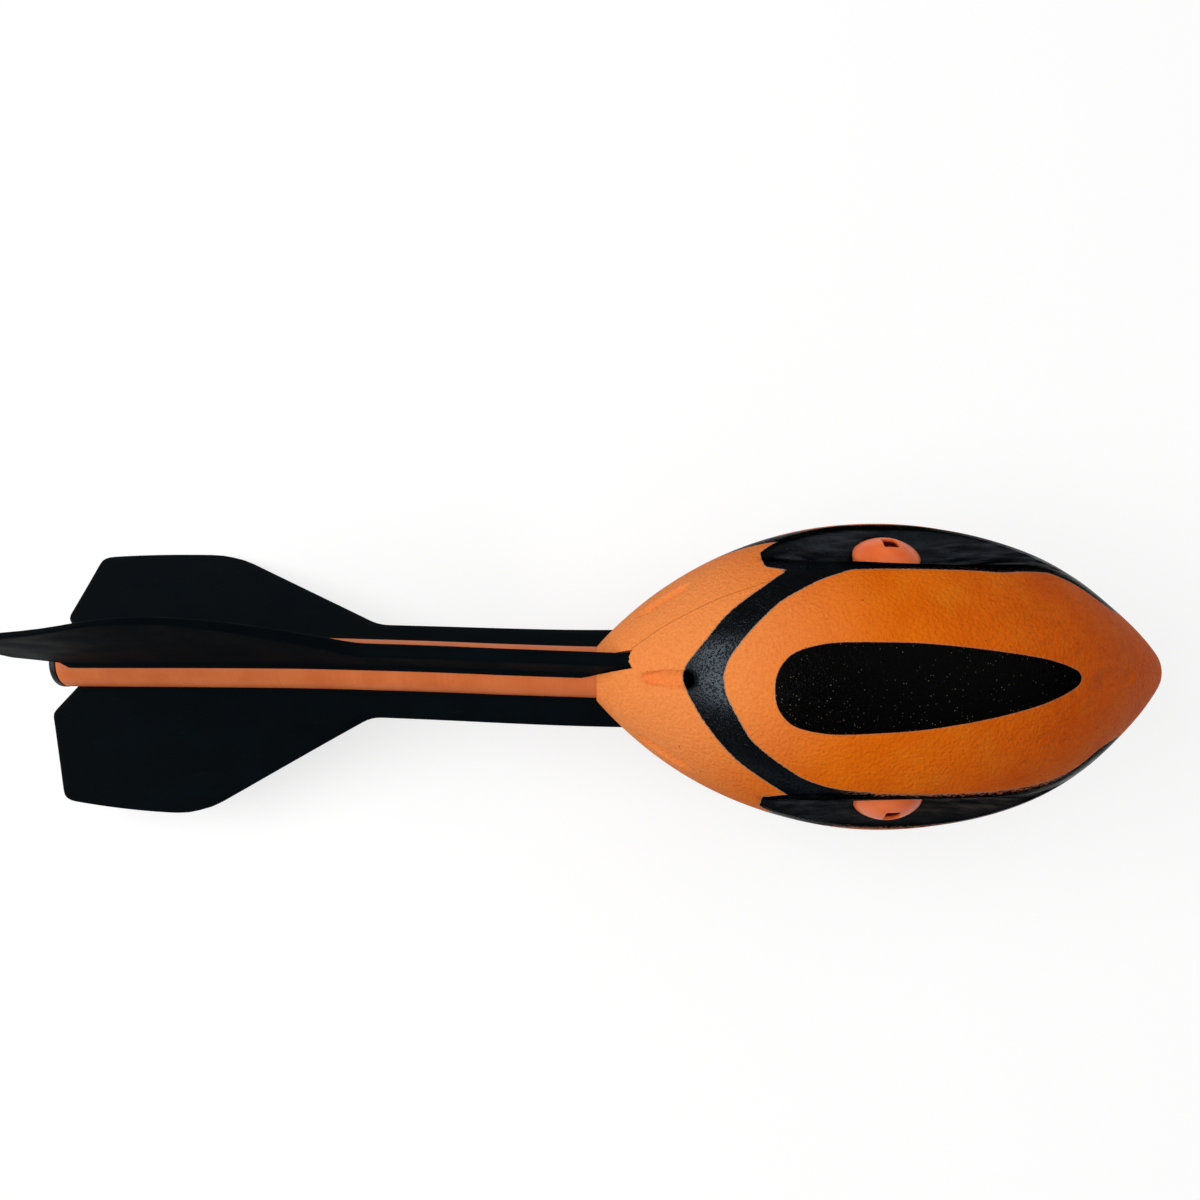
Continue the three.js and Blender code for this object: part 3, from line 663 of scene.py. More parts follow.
SEAM = [
    (8.9, -26.3), (12.7, -30.6), (17.4, -34.8), (25.5, -38.5), (32.3, -40.7), (37.9, -41.4),
    (44.7, -42.6), (52, -43)]
SEAM_ENDS = (8.5, 46)


def flat_map(places):
    """Places as flat millimetres: along the toy, and round it from a panel's or a groove's middle."""
    places = np.asarray(places, float)
    return np.stack([places[:, 0], np.radians(places[:, 1]) * spindle(places[:, 0] + PHOTO_ZERO)], axis=1)


def both_sides(half_outline):
    """An outline that ends on the middle line, closed by its mirror image."""
    return np.concatenate([half_outline, (half_outline * [1, -1])[::-1]])


def edge_distance(points, line, closed=True):
    """Distance from points to a line of points. Inside a closed line it is negative."""
    nearest = np.full(len(points), np.inf)
    inside = np.zeros(len(points), bool)
    ends = np.roll(line, -1, axis=0) if closed else line[1:]
    for a, b in zip(line, ends):
        way = b - a
        share = np.clip((points - a) @ way / max(way @ way, 1e-9), 0, 1)
        nearest = np.minimum(nearest, np.hypot(*(points - a - share[:, None] * way).T))
        if closed and a[1] != b[1]:
            crosses = (a[1] > points[:, 1]) != (b[1] > points[:, 1])
            inside ^= crosses & (points[:, 0] < a[0] + (points[:, 1] - a[1]) / (b[1] - a[1]) * way[0])
    return np.where(inside, -nearest, nearest)


band_outline = np.concatenate([flat_map(through(BAND_BEHIND)), flat_map(through(BAND_AHEAD))])
drop_outline = both_sides(flat_map(through(DROP)))
groove_outline = np.concatenate([
    flat_map(GROOVE_REAR_EDGE), flat_map(through(GROOVE_SIDE)), flat_map(through(GROOVE_OTHER_SIDE))])
seam_line = flat_map(through(SEAM))
print("outline points of band, drop and groove:", *map(len, (band_outline, drop_outline, groove_outline)))

# %% Store the distances on the head's points
NO_SEAM = 9  # millimetres: a distance at which nothing shows


def store(made, name, values):
    """Keeps one number or one vector per point of a mesh."""
    values = np.asarray(values, np.float32)
    kind = "FLOAT" if values.ndim == 1 else "FLOAT_VECTOR"
    attribute = made.data.attributes.new(name, kind, "POINT")
    attribute.data.foreach_set("value" if values.ndim == 1 else "vector", values.ravel())


def toy_points(made):
    """A mesh object's points in the toy's own frame, in millimetres."""
    points = np.empty(len(made.data.vertices) * 3, np.float32)
    made.data.vertices.foreach_get("co", points)
    back = np.array(toy_frame.inverted())
    return points.reshape(-1, 3) @ back[:3, :3].T + back[:3, 3]


places = toy_points(head)
turn_angle = np.arctan2(-places[:, 1], places[:, 2])
from_panel = (turn_angle + THIRD / 2) % THIRD - THIRD / 2
from_groove = turn_angle % THIRD - THIRD / 2
along = places[:, 0] - PHOTO_ZERO
local_radius = spindle(places[:, 0])
on_panel = np.stack([along, from_panel * local_radius], axis=1)
on_groove = np.stack([along, from_groove * local_radius], axis=1)
askew = np.stack([0 * along, DROP_TILT * (DROP_MIDDLE - along)], axis=1)
band = edge_distance(on_panel, band_outline)
groove = edge_distance(on_groove, groove_outline)
drop = edge_distance(on_panel - askew, drop_outline)
seam_side = np.interp(along, *seam_line.T)
seam = np.where((along > SEAM_ENDS[0]) & (along < SEAM_ENDS[1]), on_panel[:, 1] - seam_side, NO_SEAM)
store(head, "place", places)
store(head, "paint", np.stack([np.minimum(band, groove), drop, groove], axis=1))
store(head, "seam", seam)
store(head, "pressed", all_hollows(places[:, 0], on_panel[:, 1], on_groove[:, 1]))
print("painted points:", int((np.minimum(np.minimum(band, groove), drop) < 0).sum()), "of", len(places))

# %% Set the nose to one side
toy_matrix = np.array(toy_frame)
set_points = nose_set(places) @ toy_matrix[:3, :3].T + toy_matrix[:3, 3]
head.data.vertices.foreach_set("co", set_points.astype(np.float32).ravel())
head.data.update()
print(f"the nose is {NOSE_SET} mm to one side")

# %% [markdown]
# ## The foam
# The foam has a fine pebbled skin. It is painted paler at the rear and along the middle of the
# head, as sheen where the light falls, and has ochre patches in the middle. Towards the nose,
# where it lands, it is darker and browner, partly rubbed and partly painted shade. Foam and paint
# are one material, because paint on foam is one skin: the stored distances choose between them.
# The pebble is a bump, since it is far finer than the mesh. The clouds are measured in the toy's
# own millimetres, so they stay on the foam however it is turned.

# %% Small node helpers
CLOUD_RANGE = (0.3, 0.7)  # most values of a cloud lie between these


def maths(tree, operation, *values):
    """One sum or comparison of numbers or sockets."""
    return put(tree, "Math", *values, operation=operation).outputs[0]


def times(tree, first, *others):
    """The product of numbers or sockets."""
    for other in others:
        first = maths(tree, "MULTIPLY", first, other)
    return first


def plus(tree, first, *others):
    """The sum of numbers or sockets."""
    for other in others:
        first = maths(tree, "ADD", first, other)
    return first


def minus(tree, first, second):
    """The difference of two numbers or sockets."""
    return maths(tree, "SUBTRACT", first, second)


def ramp_between(tree, value, low, high, to_low=0.0, to_high=1.0):
    """Runs smoothly from to_low to to_high while the value goes from low to high."""
    ends = (value, low, high, to_low, to_high)
    return put(tree, "MapRange", *ends, interpolation_type="SMOOTHSTEP").outputs[0]


def mixed(tree, share, first, second, blend_type="MIX"):
    """One colour over another."""
    node = tree.nodes.new("ShaderNodeMix")
    node.data_type, node.blend_type = "RGBA", blend_type
    for index, value in ((0, share), (6, first), (7, second)):
        if isinstance(value, bpy.types.NodeSocket):
            tree.links.new(value, node.inputs[index])
        else:
            node.inputs[index].default_value = value
    return node.outputs[2]


def read_vector(tree, name):
    """A vector that store() kept under a name."""
    return put(tree, "Attribute", attribute_name=name).outputs["Vector"]


def read_number(tree, name):
    """A number that store() kept under a name."""
    return put(tree, "Attribute", attribute_name=name).outputs["Fac"]


def cloud(tree, place, size, stretch=(1, 1, 1), detail=2.0, rough=0.5):
    """Noise from 0 to 1 whose lumps are about size millimetres, longer where stretch is more."""
    scaled = put(tree, "VectorMath", place, tuple(1 / (size * s) for s in stretch), operation="MULTIPLY")
    return put(tree, "TexNoise", scaled.outputs[0], None, 1.0, detail, rough).outputs["Fac"]


def dots(tree, place, per_mm):
    """Scattered dots: how far the nearest one is, and its own random colour."""
    scaled = put(tree, "VectorMath", place, (per_mm, per_mm, per_mm), operation="MULTIPLY")
    found = put(tree, "TexVoronoi", scaled.outputs[0], None, 1.0).outputs
    return found["Distance"], found["Color"]


def bumped(tree, height):
    """A surface direction from a height in millimetres."""
    return put(tree, "Bump", 1.0, MM, None, height).outputs[0]


def finish_with(tree, output, colour, roughness, normal, **constant):
    """One surface shader. Values that are the same all over are set on its own sockets."""
    shader = tree.nodes.new("ShaderNodeBsdfPrincipled")
    for name, value in (("Base Color", colour), ("Roughness", roughness), ("Normal", normal)):
        if isinstance(value, bpy.types.NodeSocket):
            tree.links.new(value, shader.inputs[name])
        else:
            shader.inputs[name].default_value = value
    for name, value in constant.items():
        shader.inputs[name.replace("_", " ")].default_value = value
    tree.links.new(shader.outputs[0], output.inputs["Surface"])
    return shader


# %% The foam's colour
FRESH, FRESH_LIGHT, GRAIN_SHADE = rgb(226, 104, 9), rgb(236, 116, 15), rgb(208, 88, 10)
# painted sheen: a pale orange for where the light falls on the rear of the head
PAINTED_SHEEN, HOLLOW_PAINTED_SHADE, OCHRE = rgb(253, 155, 86), rgb(236, 106, 34), rgb(232, 132, 26)
LIGHT_SLANT = 0.3  # the picture's upper side, where more light falls, is painted paler further forward and darker less far back
SHEEN_CURVE = 0.013  # and both sides of the head get less painted sheen than its middle
SHEEN_ENDS, SHEEN_WHOLE = 76, 22  # millimetres along, where the painted sheen ends and is whole
OCHRE_FROM, OCHRE_WHOLE = 55, 85
PATCH_SIZE, GRAIN_SIZE, OCHRE_SIZE = 14, 0.75, 10
SHEEN_SHARE, GRAIN_SHARE, HOLLOW_SHADE_SHARE, OCHRE_SHARE = 0.85, 0.26, 0.2, 0.45

foam_material, tree, output = new_material("pebbled_foam")
place = read_vector(tree, "place")
x_place, y_place, _ = put(tree, "SeparateXYZ", place).outputs
along_place = minus(tree, x_place, PHOTO_ZERO)
light_slanted = minus(tree, along_place, times(tree, y_place, LIGHT_SLANT))
soft_patches = cloud(tree, place, PATCH_SIZE, detail=3)
grain = cloud(tree, place, GRAIN_SIZE, detail=3, rough=0.6)
orange = mixed(tree, ramp_between(tree, soft_patches, *CLOUD_RANGE), FRESH, FRESH_LIGHT)
# painted sheen: paler at the rear, further forward on the picture's upper side, and less on both sides
sheen_measure = plus(tree, light_slanted, times(tree, maths(tree, "POWER", y_place, 2), SHEEN_CURVE))
sheen_here = ramp_between(tree, sheen_measure, SHEEN_ENDS, SHEEN_WHOLE)
orange = mixed(tree, times(tree, sheen_here, SHEEN_SHARE), orange, PAINTED_SHEEN)
orange = mixed(tree, ramp_between(tree, grain, 0.35, 0.7, 0, GRAIN_SHARE), orange, GRAIN_SHADE)
# painted shade: the foam in the leaf-shaped hollows is a darker orange
orange = mixed(tree, times(tree, read_number(tree, "pressed"), HOLLOW_SHADE_SHARE), orange, HOLLOW_PAINTED_SHADE)
patches = ramp_between(tree, cloud(tree, place, OCHRE_SIZE, detail=4, rough=0.6), 0.45, 0.7)
ochre = times(tree, patches, ramp_between(tree, along_place, OCHRE_FROM, OCHRE_WHOLE))
orange = mixed(tree, times(tree, ochre, OCHRE_SHARE), orange, OCHRE)
print("nodes for the orange:", len(tree.nodes))

# %% Wear on the foam, and painted shade towards the nose
RUBBED_SHADE_FROM, RUBBED_SHADE_WHOLE = 64, 124
STREAKS_FROM, STREAKS_WHOLE = 88, 112
RUBBED_SHADE_LEAVES = (0.84, 0.66, 0.84, 1)  # shares of red, green and blue: partly wear, partly painted shade towards the nose
STREAK_SHADE, SPECK_SHADE, SEAM_SHADE = rgb(140, 62, 24), rgb(120, 44, 20), rgb(172, 68, 22)
STREAK_SIZE, STREAK_STRETCH = 1.1, (14, 1, 1)
STREAK_SHARE, SPECK_SHARE, SEAM_SHARE = 0.3, 0.75, 0.6
SPECKS_PER_MM, SPECK_OUTER, SPECK_INNER = 0.13, 0.038, 0.026
SEAM_OUTER, SEAM_INNER = 0.14, 0.04  # half widths of the parting line, soft and full

# darker and browner towards the nose: partly rubbing, partly painted shade, less far back on the upper side
rubbed_and_shaded = ramp_between(tree, light_slanted, RUBBED_SHADE_FROM, RUBBED_SHADE_WHOLE)
worn_shaded_orange = mixed(tree, rubbed_and_shaded, orange, mixed(tree, 1.0, orange, RUBBED_SHADE_LEAVES, "MULTIPLY"))
streaks = cloud(tree, place, STREAK_SIZE, STREAK_STRETCH, detail=4, rough=0.65)
streaks = ramp_between(tree, streaks, 0.48, 0.72)
streaks = times(tree, streaks, ramp_between(tree, along_place, STREAKS_FROM, STREAKS_WHOLE))
worn_shaded_orange = mixed(tree, times(tree, streaks, STREAK_SHARE), worn_shaded_orange, STREAK_SHADE)
speck_far, _ = dots(tree, place, SPECKS_PER_MM)
speck_here = ramp_between(tree, speck_far, SPECK_OUTER, SPECK_INNER)
worn_shaded_orange = mixed(tree, times(tree, speck_here, SPECK_SHARE), worn_shaded_orange, SPECK_SHADE)
line_here = ramp_between(tree, maths(tree, "ABSOLUTE", read_number(tree, "seam")), SEAM_OUTER, SEAM_INNER)
worn_shaded_orange = mixed(tree, times(tree, line_here, SEAM_SHARE), worn_shaded_orange, SEAM_SHADE)
print("nodes with the wear:", len(tree.nodes))

# %% [markdown]
# ## The paint
# The paint is black and shines, and the foam's pebble shows through it. A plastic-like surface
# would turn pale where it is seen at a flat angle, and the photographed paint stays black there.
# So clean paint is made as a very dark metal, whose edge tint keeps it dark, while dust, flecks
# and scuffs on it are dull and not metal. The pale grey in each groove's scoop, browner on the
# lower side, is partly dust and partly painted sheen. The paint's edges are a little ragged, with
# a worn rim, and along the lower groove the paint is partly rubbed off.

# %% The edges of the paint and its wear
WEAR_RISES, WEAR_FALLS = (58, 84), (128, 112)  # millimetres along, between which paint is rubbed off
LOW_SIDE = (-18, -26)  # millimetres towards the camera's lower side
WEAR_LOW, WEAR_ALL = 0.93, 0.05
THINNING = 2.2  # millimetres inside the edge, over which the wear gets less
RAGGED = 0.5  # millimetres by which the edge wanders
STRIP_BLUR, DROP_BLUR = 0.07, 0.06
RIM_OUTER, RIM_INNER = 0.42, 0.16  # the worn rim on either side of the edge
DROP_RIM, STRIP_RIM = 0.3, 0.7  # how much of it shows

strip, drop_edge, groove_edge = put(tree, "SeparateXYZ", read_vector(tree, "paint")).outputs
ragged = times(tree, minus(tree, cloud(tree, place, 0.7, detail=3), 0.5), RAGGED)
speckle = cloud(tree, place, 0.55, stretch=(1.6, 1, 1), detail=3, rough=0.7)
low_side = ramp_between(tree, y_place, *LOW_SIDE)
wear_zone = ramp_between(tree, along_place, *WEAR_RISES)
wear_zone = times(tree, wear_zone, ramp_between(tree, along_place, *WEAR_FALLS))
wear = times(tree, wear_zone, plus(tree, times(tree, low_side, WEAR_LOW), WEAR_ALL))
depth_in = maths(tree, "DIVIDE", strip, -THINNING)
thin_spots = ramp_between(tree, minus(tree, speckle, times(tree, depth_in, 0.2)), 0.42, 0.5)
rubbed_off = times(tree, wear, thin_spots)
strip_edge = plus(tree, strip, ragged)
drop_line = plus(tree, drop_edge, times(tree, ragged, 0.4))
strip_here = ramp_between(tree, strip_edge, STRIP_BLUR, -STRIP_BLUR)
strip_here = times(tree, strip_here, minus(tree, 1.0, rubbed_off))
drop_here = ramp_between(tree, drop_line, DROP_BLUR, -DROP_BLUR)
paint_here = maths(tree, "MAXIMUM", strip_here, drop_here)
edge_line = maths(tree, "MINIMUM", maths(tree, "ABSOLUTE", strip_edge), maths(tree, "ABSOLUTE", drop_line))
halo = ramp_between(tree, edge_line, RIM_OUTER, RIM_INNER)
halo = times(tree, halo, ramp_between(tree, drop_line, 0.3, 0.6, DROP_RIM, STRIP_RIM))
print("nodes with the paint's edges:", len(tree.nodes))

# %% The paint's colour, flecks, dust and painted sheen
BLACK, BLACK_LIGHT = rgb(25, 28, 31), rgb(30, 33, 36)
DROP_BLACK, HOLLOW_SHADE_BLACK = rgb(12, 12, 12), rgb(3, 3, 3)
FLECK_SHADE, DUST_SHEEN_SHADE, LOW_DUST_SHEEN_SHADE = rgb(150, 140, 112), rgb(62, 65, 72), rgb(80, 72, 66)
SCUFF_SHADE, RIM_SHADE = rgb(150, 118, 98), rgb(150, 128, 104)
FLECKS_PER_MM, FLECK_OUTER, FLECK_INNER = 1.5, 0.24, 0.12
FLECK_SHARE, DUST_SHEEN_SHARE, SCUFF_SHARE = 0.5, 0.75, 0.7
DUST_SHEEN_FROM, DUST_SHEEN_WHOLE = -3, -5.5  # millimetres inside the groove's edge: dust and painted sheen lie in the scoop
SCUFFS_START, SCUFFS_END = (-0.3, -0.8), (-5, -3.5)  # and scuffs lie near the edge

black = mixed(tree, ramp_between(tree, cloud(tree, place, 5), 0.35, 0.7), BLACK, BLACK_LIGHT)
black = mixed(tree, drop_here, black, DROP_BLACK)
# painted shade: the paint in the leaf-shaped hollows is nearly black, so it shows no shine there
black = mixed(tree, ramp_between(tree, read_number(tree, "pressed"), 0, 0.3), black, HOLLOW_SHADE_BLACK)
fleck_far, fleck_colour = dots(tree, place, FLECKS_PER_MM)
chance = put(tree, "SeparateColor", fleck_colour).outputs[0]
chance = plus(tree, chance, ramp_between(tree, y_place, 2, -14, 0, 0.18))
fleck_here = ramp_between(tree, fleck_far, FLECK_OUTER, FLECK_INNER)
fleck_here = times(tree, fleck_here, ramp_between(tree, chance, 0.76, 1.0))
fleck_share = times(tree, fleck_here, drop_here, FLECK_SHARE)
black = mixed(tree, fleck_share, black, FLECK_SHADE)
# dust and painted sheen: a paler grey laid in each groove's scoop
in_scoop = ramp_between(tree, groove_edge, DUST_SHEEN_FROM, DUST_SHEEN_WHOLE)
dust_and_sheen = ramp_between(tree, cloud(tree, place, 1.6, stretch=(6, 1, 1), detail=3, rough=0.5), 0.3, 0.85)
dust_sheen_share = times(tree, dust_and_sheen, in_scoop, DUST_SHEEN_SHARE)
# dust and painted sheen: browner where the lower groove's scoop shines
dusty_sheen = mixed(tree, times(tree, wear_zone, low_side), DUST_SHEEN_SHADE, LOW_DUST_SHEEN_SHADE)
black = mixed(tree, dust_sheen_share, black, dusty_sheen)
scuff = ramp_between(tree, cloud(tree, place, 0.9, stretch=(3, 1, 1), detail=3, rough=0.6), 0.73, 0.77)
near_edge = ramp_between(tree, groove_edge, *SCUFFS_START)
near_edge = times(tree, near_edge, ramp_between(tree, groove_edge, *SCUFFS_END))
scuff_share = times(tree, scuff, near_edge, SCUFF_SHARE)
black = mixed(tree, scuff_share, black, SCUFF_SHADE)
dull = maths(tree, "MAXIMUM", maths(tree, "MAXIMUM", fleck_share, dust_sheen_share), scuff_share)
glossy_here = times(tree, ramp_between(tree, paint_here, 0.8, 1), minus(tree, 1.0, dull))
skin = mixed(tree, halo, worn_shaded_orange, RIM_SHADE)
skin = mixed(tree, paint_here, skin, black)
print("nodes with the paint's colour:", len(tree.nodes))

# %% Shine and pebble of foam and paint
PEBBLE, PIT, WRINKLE, PAINT_COAT = 0.15, 0.065, 0.12, 0.03  # heights in millimetres
SEAM_DEPTH, STREAK_DEPTH = 0.12, 0.05
FINE_ON_FOAM, FINE_ON_PAINT = 0.07, 0.024
PEBBLE_SIZE, PIT_SIZE, FINE_SIZE, WRINKLE_SIZE = 0.95, 0.62, 0.36, 0.9
WRINKLES_FROM, WRINKLES_WHOLE = -0.6, -2.5  # millimetres inside the groove's edge
FOAM_ROUGH, PAINT_ROUGH, DROP_ROUGHER = (0.52, 0.64), (0.2, 0.26), 0.1
PAINT_REFLECTS = 0.07
EDGE_TINT = (0.2, 0.2, 0.2, 1)  # what the dark metal reflects at flat angles

pebble = ramp_between(tree, cloud(tree, place, PEBBLE_SIZE, detail=1.5), *CLOUD_RANGE)
pebble = times(tree, pebble, PEBBLE, minus(tree, 1.0, paint_here))
pits = ramp_between(tree, cloud(tree, place, PIT_SIZE, detail=1.5), 0.3, 0.5)
pits = times(tree, pits, PIT, paint_here)
fine = ramp_between(tree, paint_here, 0, 1, FINE_ON_FOAM, FINE_ON_PAINT)
fine = times(tree, cloud(tree, place, FINE_SIZE, detail=2), fine)
wrinkles = cloud(tree, place, WRINKLE_SIZE, stretch=(5, 1, 1), detail=3, rough=0.6)
in_groove = ramp_between(tree, groove_edge, WRINKLES_FROM, WRINKLES_WHOLE)
wrinkles = times(tree, wrinkles, in_groove, WRINKLE)
relief = plus(tree, pebble, pits, fine, wrinkles)
relief = minus(tree, relief, times(tree, line_here, SEAM_DEPTH))
relief = plus(tree, relief, times(tree, paint_here, PAINT_COAT))
relief = minus(tree, relief, times(tree, streaks, STREAK_DEPTH))
foam_shine = ramp_between(tree, grain, *CLOUD_RANGE, *FOAM_ROUGH)
paint_shine = ramp_between(tree, soft_patches, *CLOUD_RANGE, *PAINT_ROUGH)
paint_shine = plus(tree, paint_shine, times(tree, drop_here, DROP_ROUGHER))
shine = put(tree, "Mix", paint_here, None, foam_shine, paint_shine).outputs[0]
gloss = {"Specular_IOR_Level": PAINT_REFLECTS, "Specular_Tint": EDGE_TINT}
painted_foam = finish_with(tree, output, skin, shine, bumped(tree, relief), **gloss)
tree.links.new(glossy_here, painted_foam.inputs["Metallic"])
print("nodes in all:", len(tree.nodes))

# %% Dress the head
SHARP_FROM = math.radians(38)


def dress(made, material, slot, *nodes):
    """Gives a piece its material and its smooth shading, and puts it in the CAD nodes' place."""
    made.data.materials.clear()
    made.data.materials.append(material)
    made.data.polygons.foreach_set("use_smooth", np.ones(len(made.data.polygons), bool))
    made.data.set_sharp_from_angle(angle=SHARP_FROM)
    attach(made, "root")
    if nodes:
        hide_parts(*nodes)


dress(head, foam_material, "foam", "foam_head")
print("dressed:", head.name)

# %% [markdown]
# ## The tail fins
# Each fin is one soft rubber plate: thick at the tube, thin at its outer edge, with a rounded
# rim and a small fillet along its foot. An extruded outline would have flat ends, so the
# outline is filled with triangles instead, and every point is lifted to both sides by half the
# thickness there. At the rim the two sides meet in a half round, and the foot is closed by a
# strip that is round as the tube is.

# %% A fin's outline
FIN_CORNERS = [(-7, 16, 1), (-8, 44.7, 3), (34.5, 48.4, 8), (88.5, 16, 3), (176.2, 16.9, 2)]
EDGE_ARCH = 1.1  # how far the outer edge bulges between its two corners
FIN_FOOT_START, FIN_FRONT = 1.6, 176.2
FIN_ROOT = 7.65
RIM_STEP = 1.3
ROOT_HALF, EDGE_HALF, FIN_FILLET, FIN_REACH = 2.3, 0.8, 1.2, 41


def rounded(corners, steps=5):
    """An open outline through [x, y, corner radius] points, with each corner rounded."""
    points = [np.array((FIN_FOOT_START, FIN_ROOT, 0))] + [np.array(c, float) for c in corners]
    points.append(np.array((FIN_FRONT, FIN_ROOT, 0)))
    line = [points[0][:2]]
    for before, here, after in zip(points, points[1:], points[2:]):
        corner, back, on = here[:2], before[:2] - here[:2], after[:2] - here[:2]
        start = corner + back / np.linalg.norm(back) * here[2]
        end = corner + on / np.linalg.norm(on) * here[2]
        for t in np.linspace(0, 1, steps):
            line.append((1 - t) ** 2 * start + 2 * t * (1 - t) * corner + t**2 * end)
    return np.array(line + [points[-1][:2]])


def even_steps(line, step):
    """The same line with points about one step apart."""
    lengths = np.concatenate([[0], np.cumsum(np.hypot(*np.diff(line, axis=0).T))])
    at = np.linspace(0, lengths[-1], round(lengths[-1] / step) + 1)
    return np.stack([np.interp(at, lengths, line[:, 0]), np.interp(at, lengths, line[:, 1])], axis=1)


def arched(line):
    """The outline with its outer edge bulging a little, from the rear corner to the front one."""
    (rear, low, _), (front, high, _) = FIN_CORNERS[1], FIN_CORNERS[2]
    share = np.clip((line[:, 0] - rear) / (front - rear), 0, 1)
    rise = np.where(line[:, 1] > (low + FIN_ROOT) / 2, 4 * EDGE_ARCH * share * (1 - share), 0)
    return line + np.stack([0 * rise, rise], axis=1)


fin_rim = even_steps(arched(even_steps(rounded(FIN_CORNERS), 1)), RIM_STEP)
print("fin outline:", len(fin_rim), "points, reaching", round(fin_rim[:, 1].max(), 1), "mm from the line")

# %% Half the thickness of a fin
RIM_ROUND = 0.9
FOOT_INSET, FOOT_RUN = 0.6, 2  # the fillet fades out over this run at both of its ends


def fin_half(x, y, from_rim):
    """Half the fin's thickness at a place, with its rim and foot."""
    share = (y - FIN_ROOT) / FIN_REACH
    flat = ROOT_HALF + (EDGE_HALF - ROOT_HALF) * share
    foot = np.clip((y - FIN_ROOT) / FIN_FILLET, 0, 1)
    rear_end = np.clip((x - FIN_FOOT_START - FOOT_INSET) / FOOT_RUN, 0, 1)
    front_end = np.clip((HEAD_REAR - FOOT_INSET - x) / FOOT_RUN, 0, 1)
    flare = FIN_FILLET * (1 - np.sqrt(foot)) ** 2 * (rear_end * front_end)
    round_share = np.clip(from_rim / RIM_ROUND, 0, 1)
    return (flat + flare) * np.sqrt(1 - (1 - round_share) ** 2)


thickness = 2 * fin_half(50, FIN_ROOT + FIN_REACH / 2, RIM_ROUND)
print(f"a fin is {thickness:.1f} mm thick halfway out")

# %% The outline filled with triangles
GRID_STEP = 2.6
GRID_FROM = (-8, FIN_ROOT + 3.6)
GRID_TO = (FIN_FRONT, 50)
LOOP_DEPTHS = (0.06, 0.22, 0.5, RIM_ROUND)  # millimetres inside the rim, close where it is rounded
FOOT_HEIGHTS = (0.12, 0.4, 0.9, FIN_FILLET)

root_x = np.linspace(FIN_FRONT, FIN_FOOT_START, 70)[1:-1]
fin_root = np.stack([root_x, np.full_like(root_x, FIN_ROOT)], axis=1)
fin_outline = np.concatenate([fin_rim, fin_root])


def loose_points():
    """Points inside the outline: loops along the rim, rows along the foot and a grid between."""
    inward = np.gradient(fin_rim, axis=0)
    inward = np.stack([inward[:, 1], -inward[:, 0]], axis=1) / np.hypot(*inward.T)[:, None]
    loops = [fin_rim + inward * d for d in LOOP_DEPTHS]
    foot = [fin_root + [0, d] for d in FOOT_HEIGHTS]
    gx, gy = np.meshgrid(*(np.arange(low, high, GRID_STEP) for low, high in zip(GRID_FROM, GRID_TO)))
    loose = np.concatenate(loops + foot + [np.stack([gx.ravel(), gy.ravel()], axis=1)])
    from_rim = edge_distance(loose, fin_rim, closed=False)
    in_loop = np.arange(len(loose)) < len(fin_rim) * len(loops)
    keep = (edge_distance(loose, fin_outline) < -0.03) & (from_rim > 0.05)
    return loose[keep & (in_loop | (from_rim > RIM_ROUND * 1.3))]


def filled_outline():
    """Flat points and triangles, and which of the points lie on the rim and on the root."""
    flat = np.concatenate([fin_outline, loose_points()])
    ring = [(i, (i + 1) % len(fin_outline)) for i in range(len(fin_outline))]
    made = geometry.delaunay_2d_cdt([Vector(p) for p in flat], ring, [], 1, 1e-5)
    flat, faces, source = np.array(made[0]), made[2], made[3]
    on_rim = np.array([any(i < len(fin_rim) for i in came) for came in source])
    on_root = np.array([any(len(fin_rim) <= i < len(fin_outline) for i in came) for came in source])
    for corner in (fin_rim[0], fin_rim[-1]):
        on_root |= np.hypot(*(flat - corner).T) < 1e-3
    return flat, faces, on_rim, on_root


fin_flat, fin_faces, fin_on_rim, fin_on_root = filled_outline()
print("flat fin:", len(fin_flat), "points,", len(fin_faces), "triangles")

# %% Two sides and a foot make the plate
FOOT_STEPS = np.linspace(1, -1, 5)[1:-1]


def over_tube(shift):
    """Height of the tube's round side at a distance from the fin's middle."""
    return np.sqrt(FIN_ROOT**2 - np.minimum(np.abs(shift), FIN_ROOT / 2) ** 2)


def foot_strip(first_new, order, x, side, half, other):
    """Points and faces that close the foot from one side of the fin to the other."""
    extra, columns, faces = [], [], []
    for i in order:
        if other[i] == i:
            columns.append([int(i)] * (len(FOOT_STEPS) + 2))
            continue
        start = first_new + len(extra)
        extra += [(x[i], side[i] + half[i] * t, over_tube(half[i] * t)) for t in FOOT_STEPS]
        columns.append([int(i)] + [start + k for k in range(len(FOOT_STEPS))] + [int(other[i])])
    for first, second in zip(columns, columns[1:]):
        for corners in zip(first, first[1:], second[1:], second):
            corners = tuple(dict.fromkeys(corners))
            if len(corners) > 2:
                faces.append(corners)
    return extra, faces


def fin_plate(bend):
    """Points and faces of a fin, upright over the line. bend(x, y) moves it sideways."""
    x, y = fin_flat.T
    half = fin_half(x, y, edge_distance(fin_flat, fin_rim, closed=False))
    side = bend(x, y)
    y = np.where(fin_on_root, over_tube(half), y)
    points = np.concatenate([np.stack([x, side + half, y], axis=1), np.stack([x, side - half, y], axis=1)])
    own = np.arange(len(fin_flat))
    other = np.where(fin_on_rim, own, own + len(fin_flat))
    faces = [tuple(face) for face in fin_faces]
    faces += [tuple(int(other[i]) for i in face[::-1]) for face in fin_faces]
    order = np.where(fin_on_root)[0]
    order = order[np.argsort(x[order])]
    extra, strip_faces = foot_strip(len(points), order, x, side, half, other)
    return np.concatenate([points, extra]), faces + strip_faces


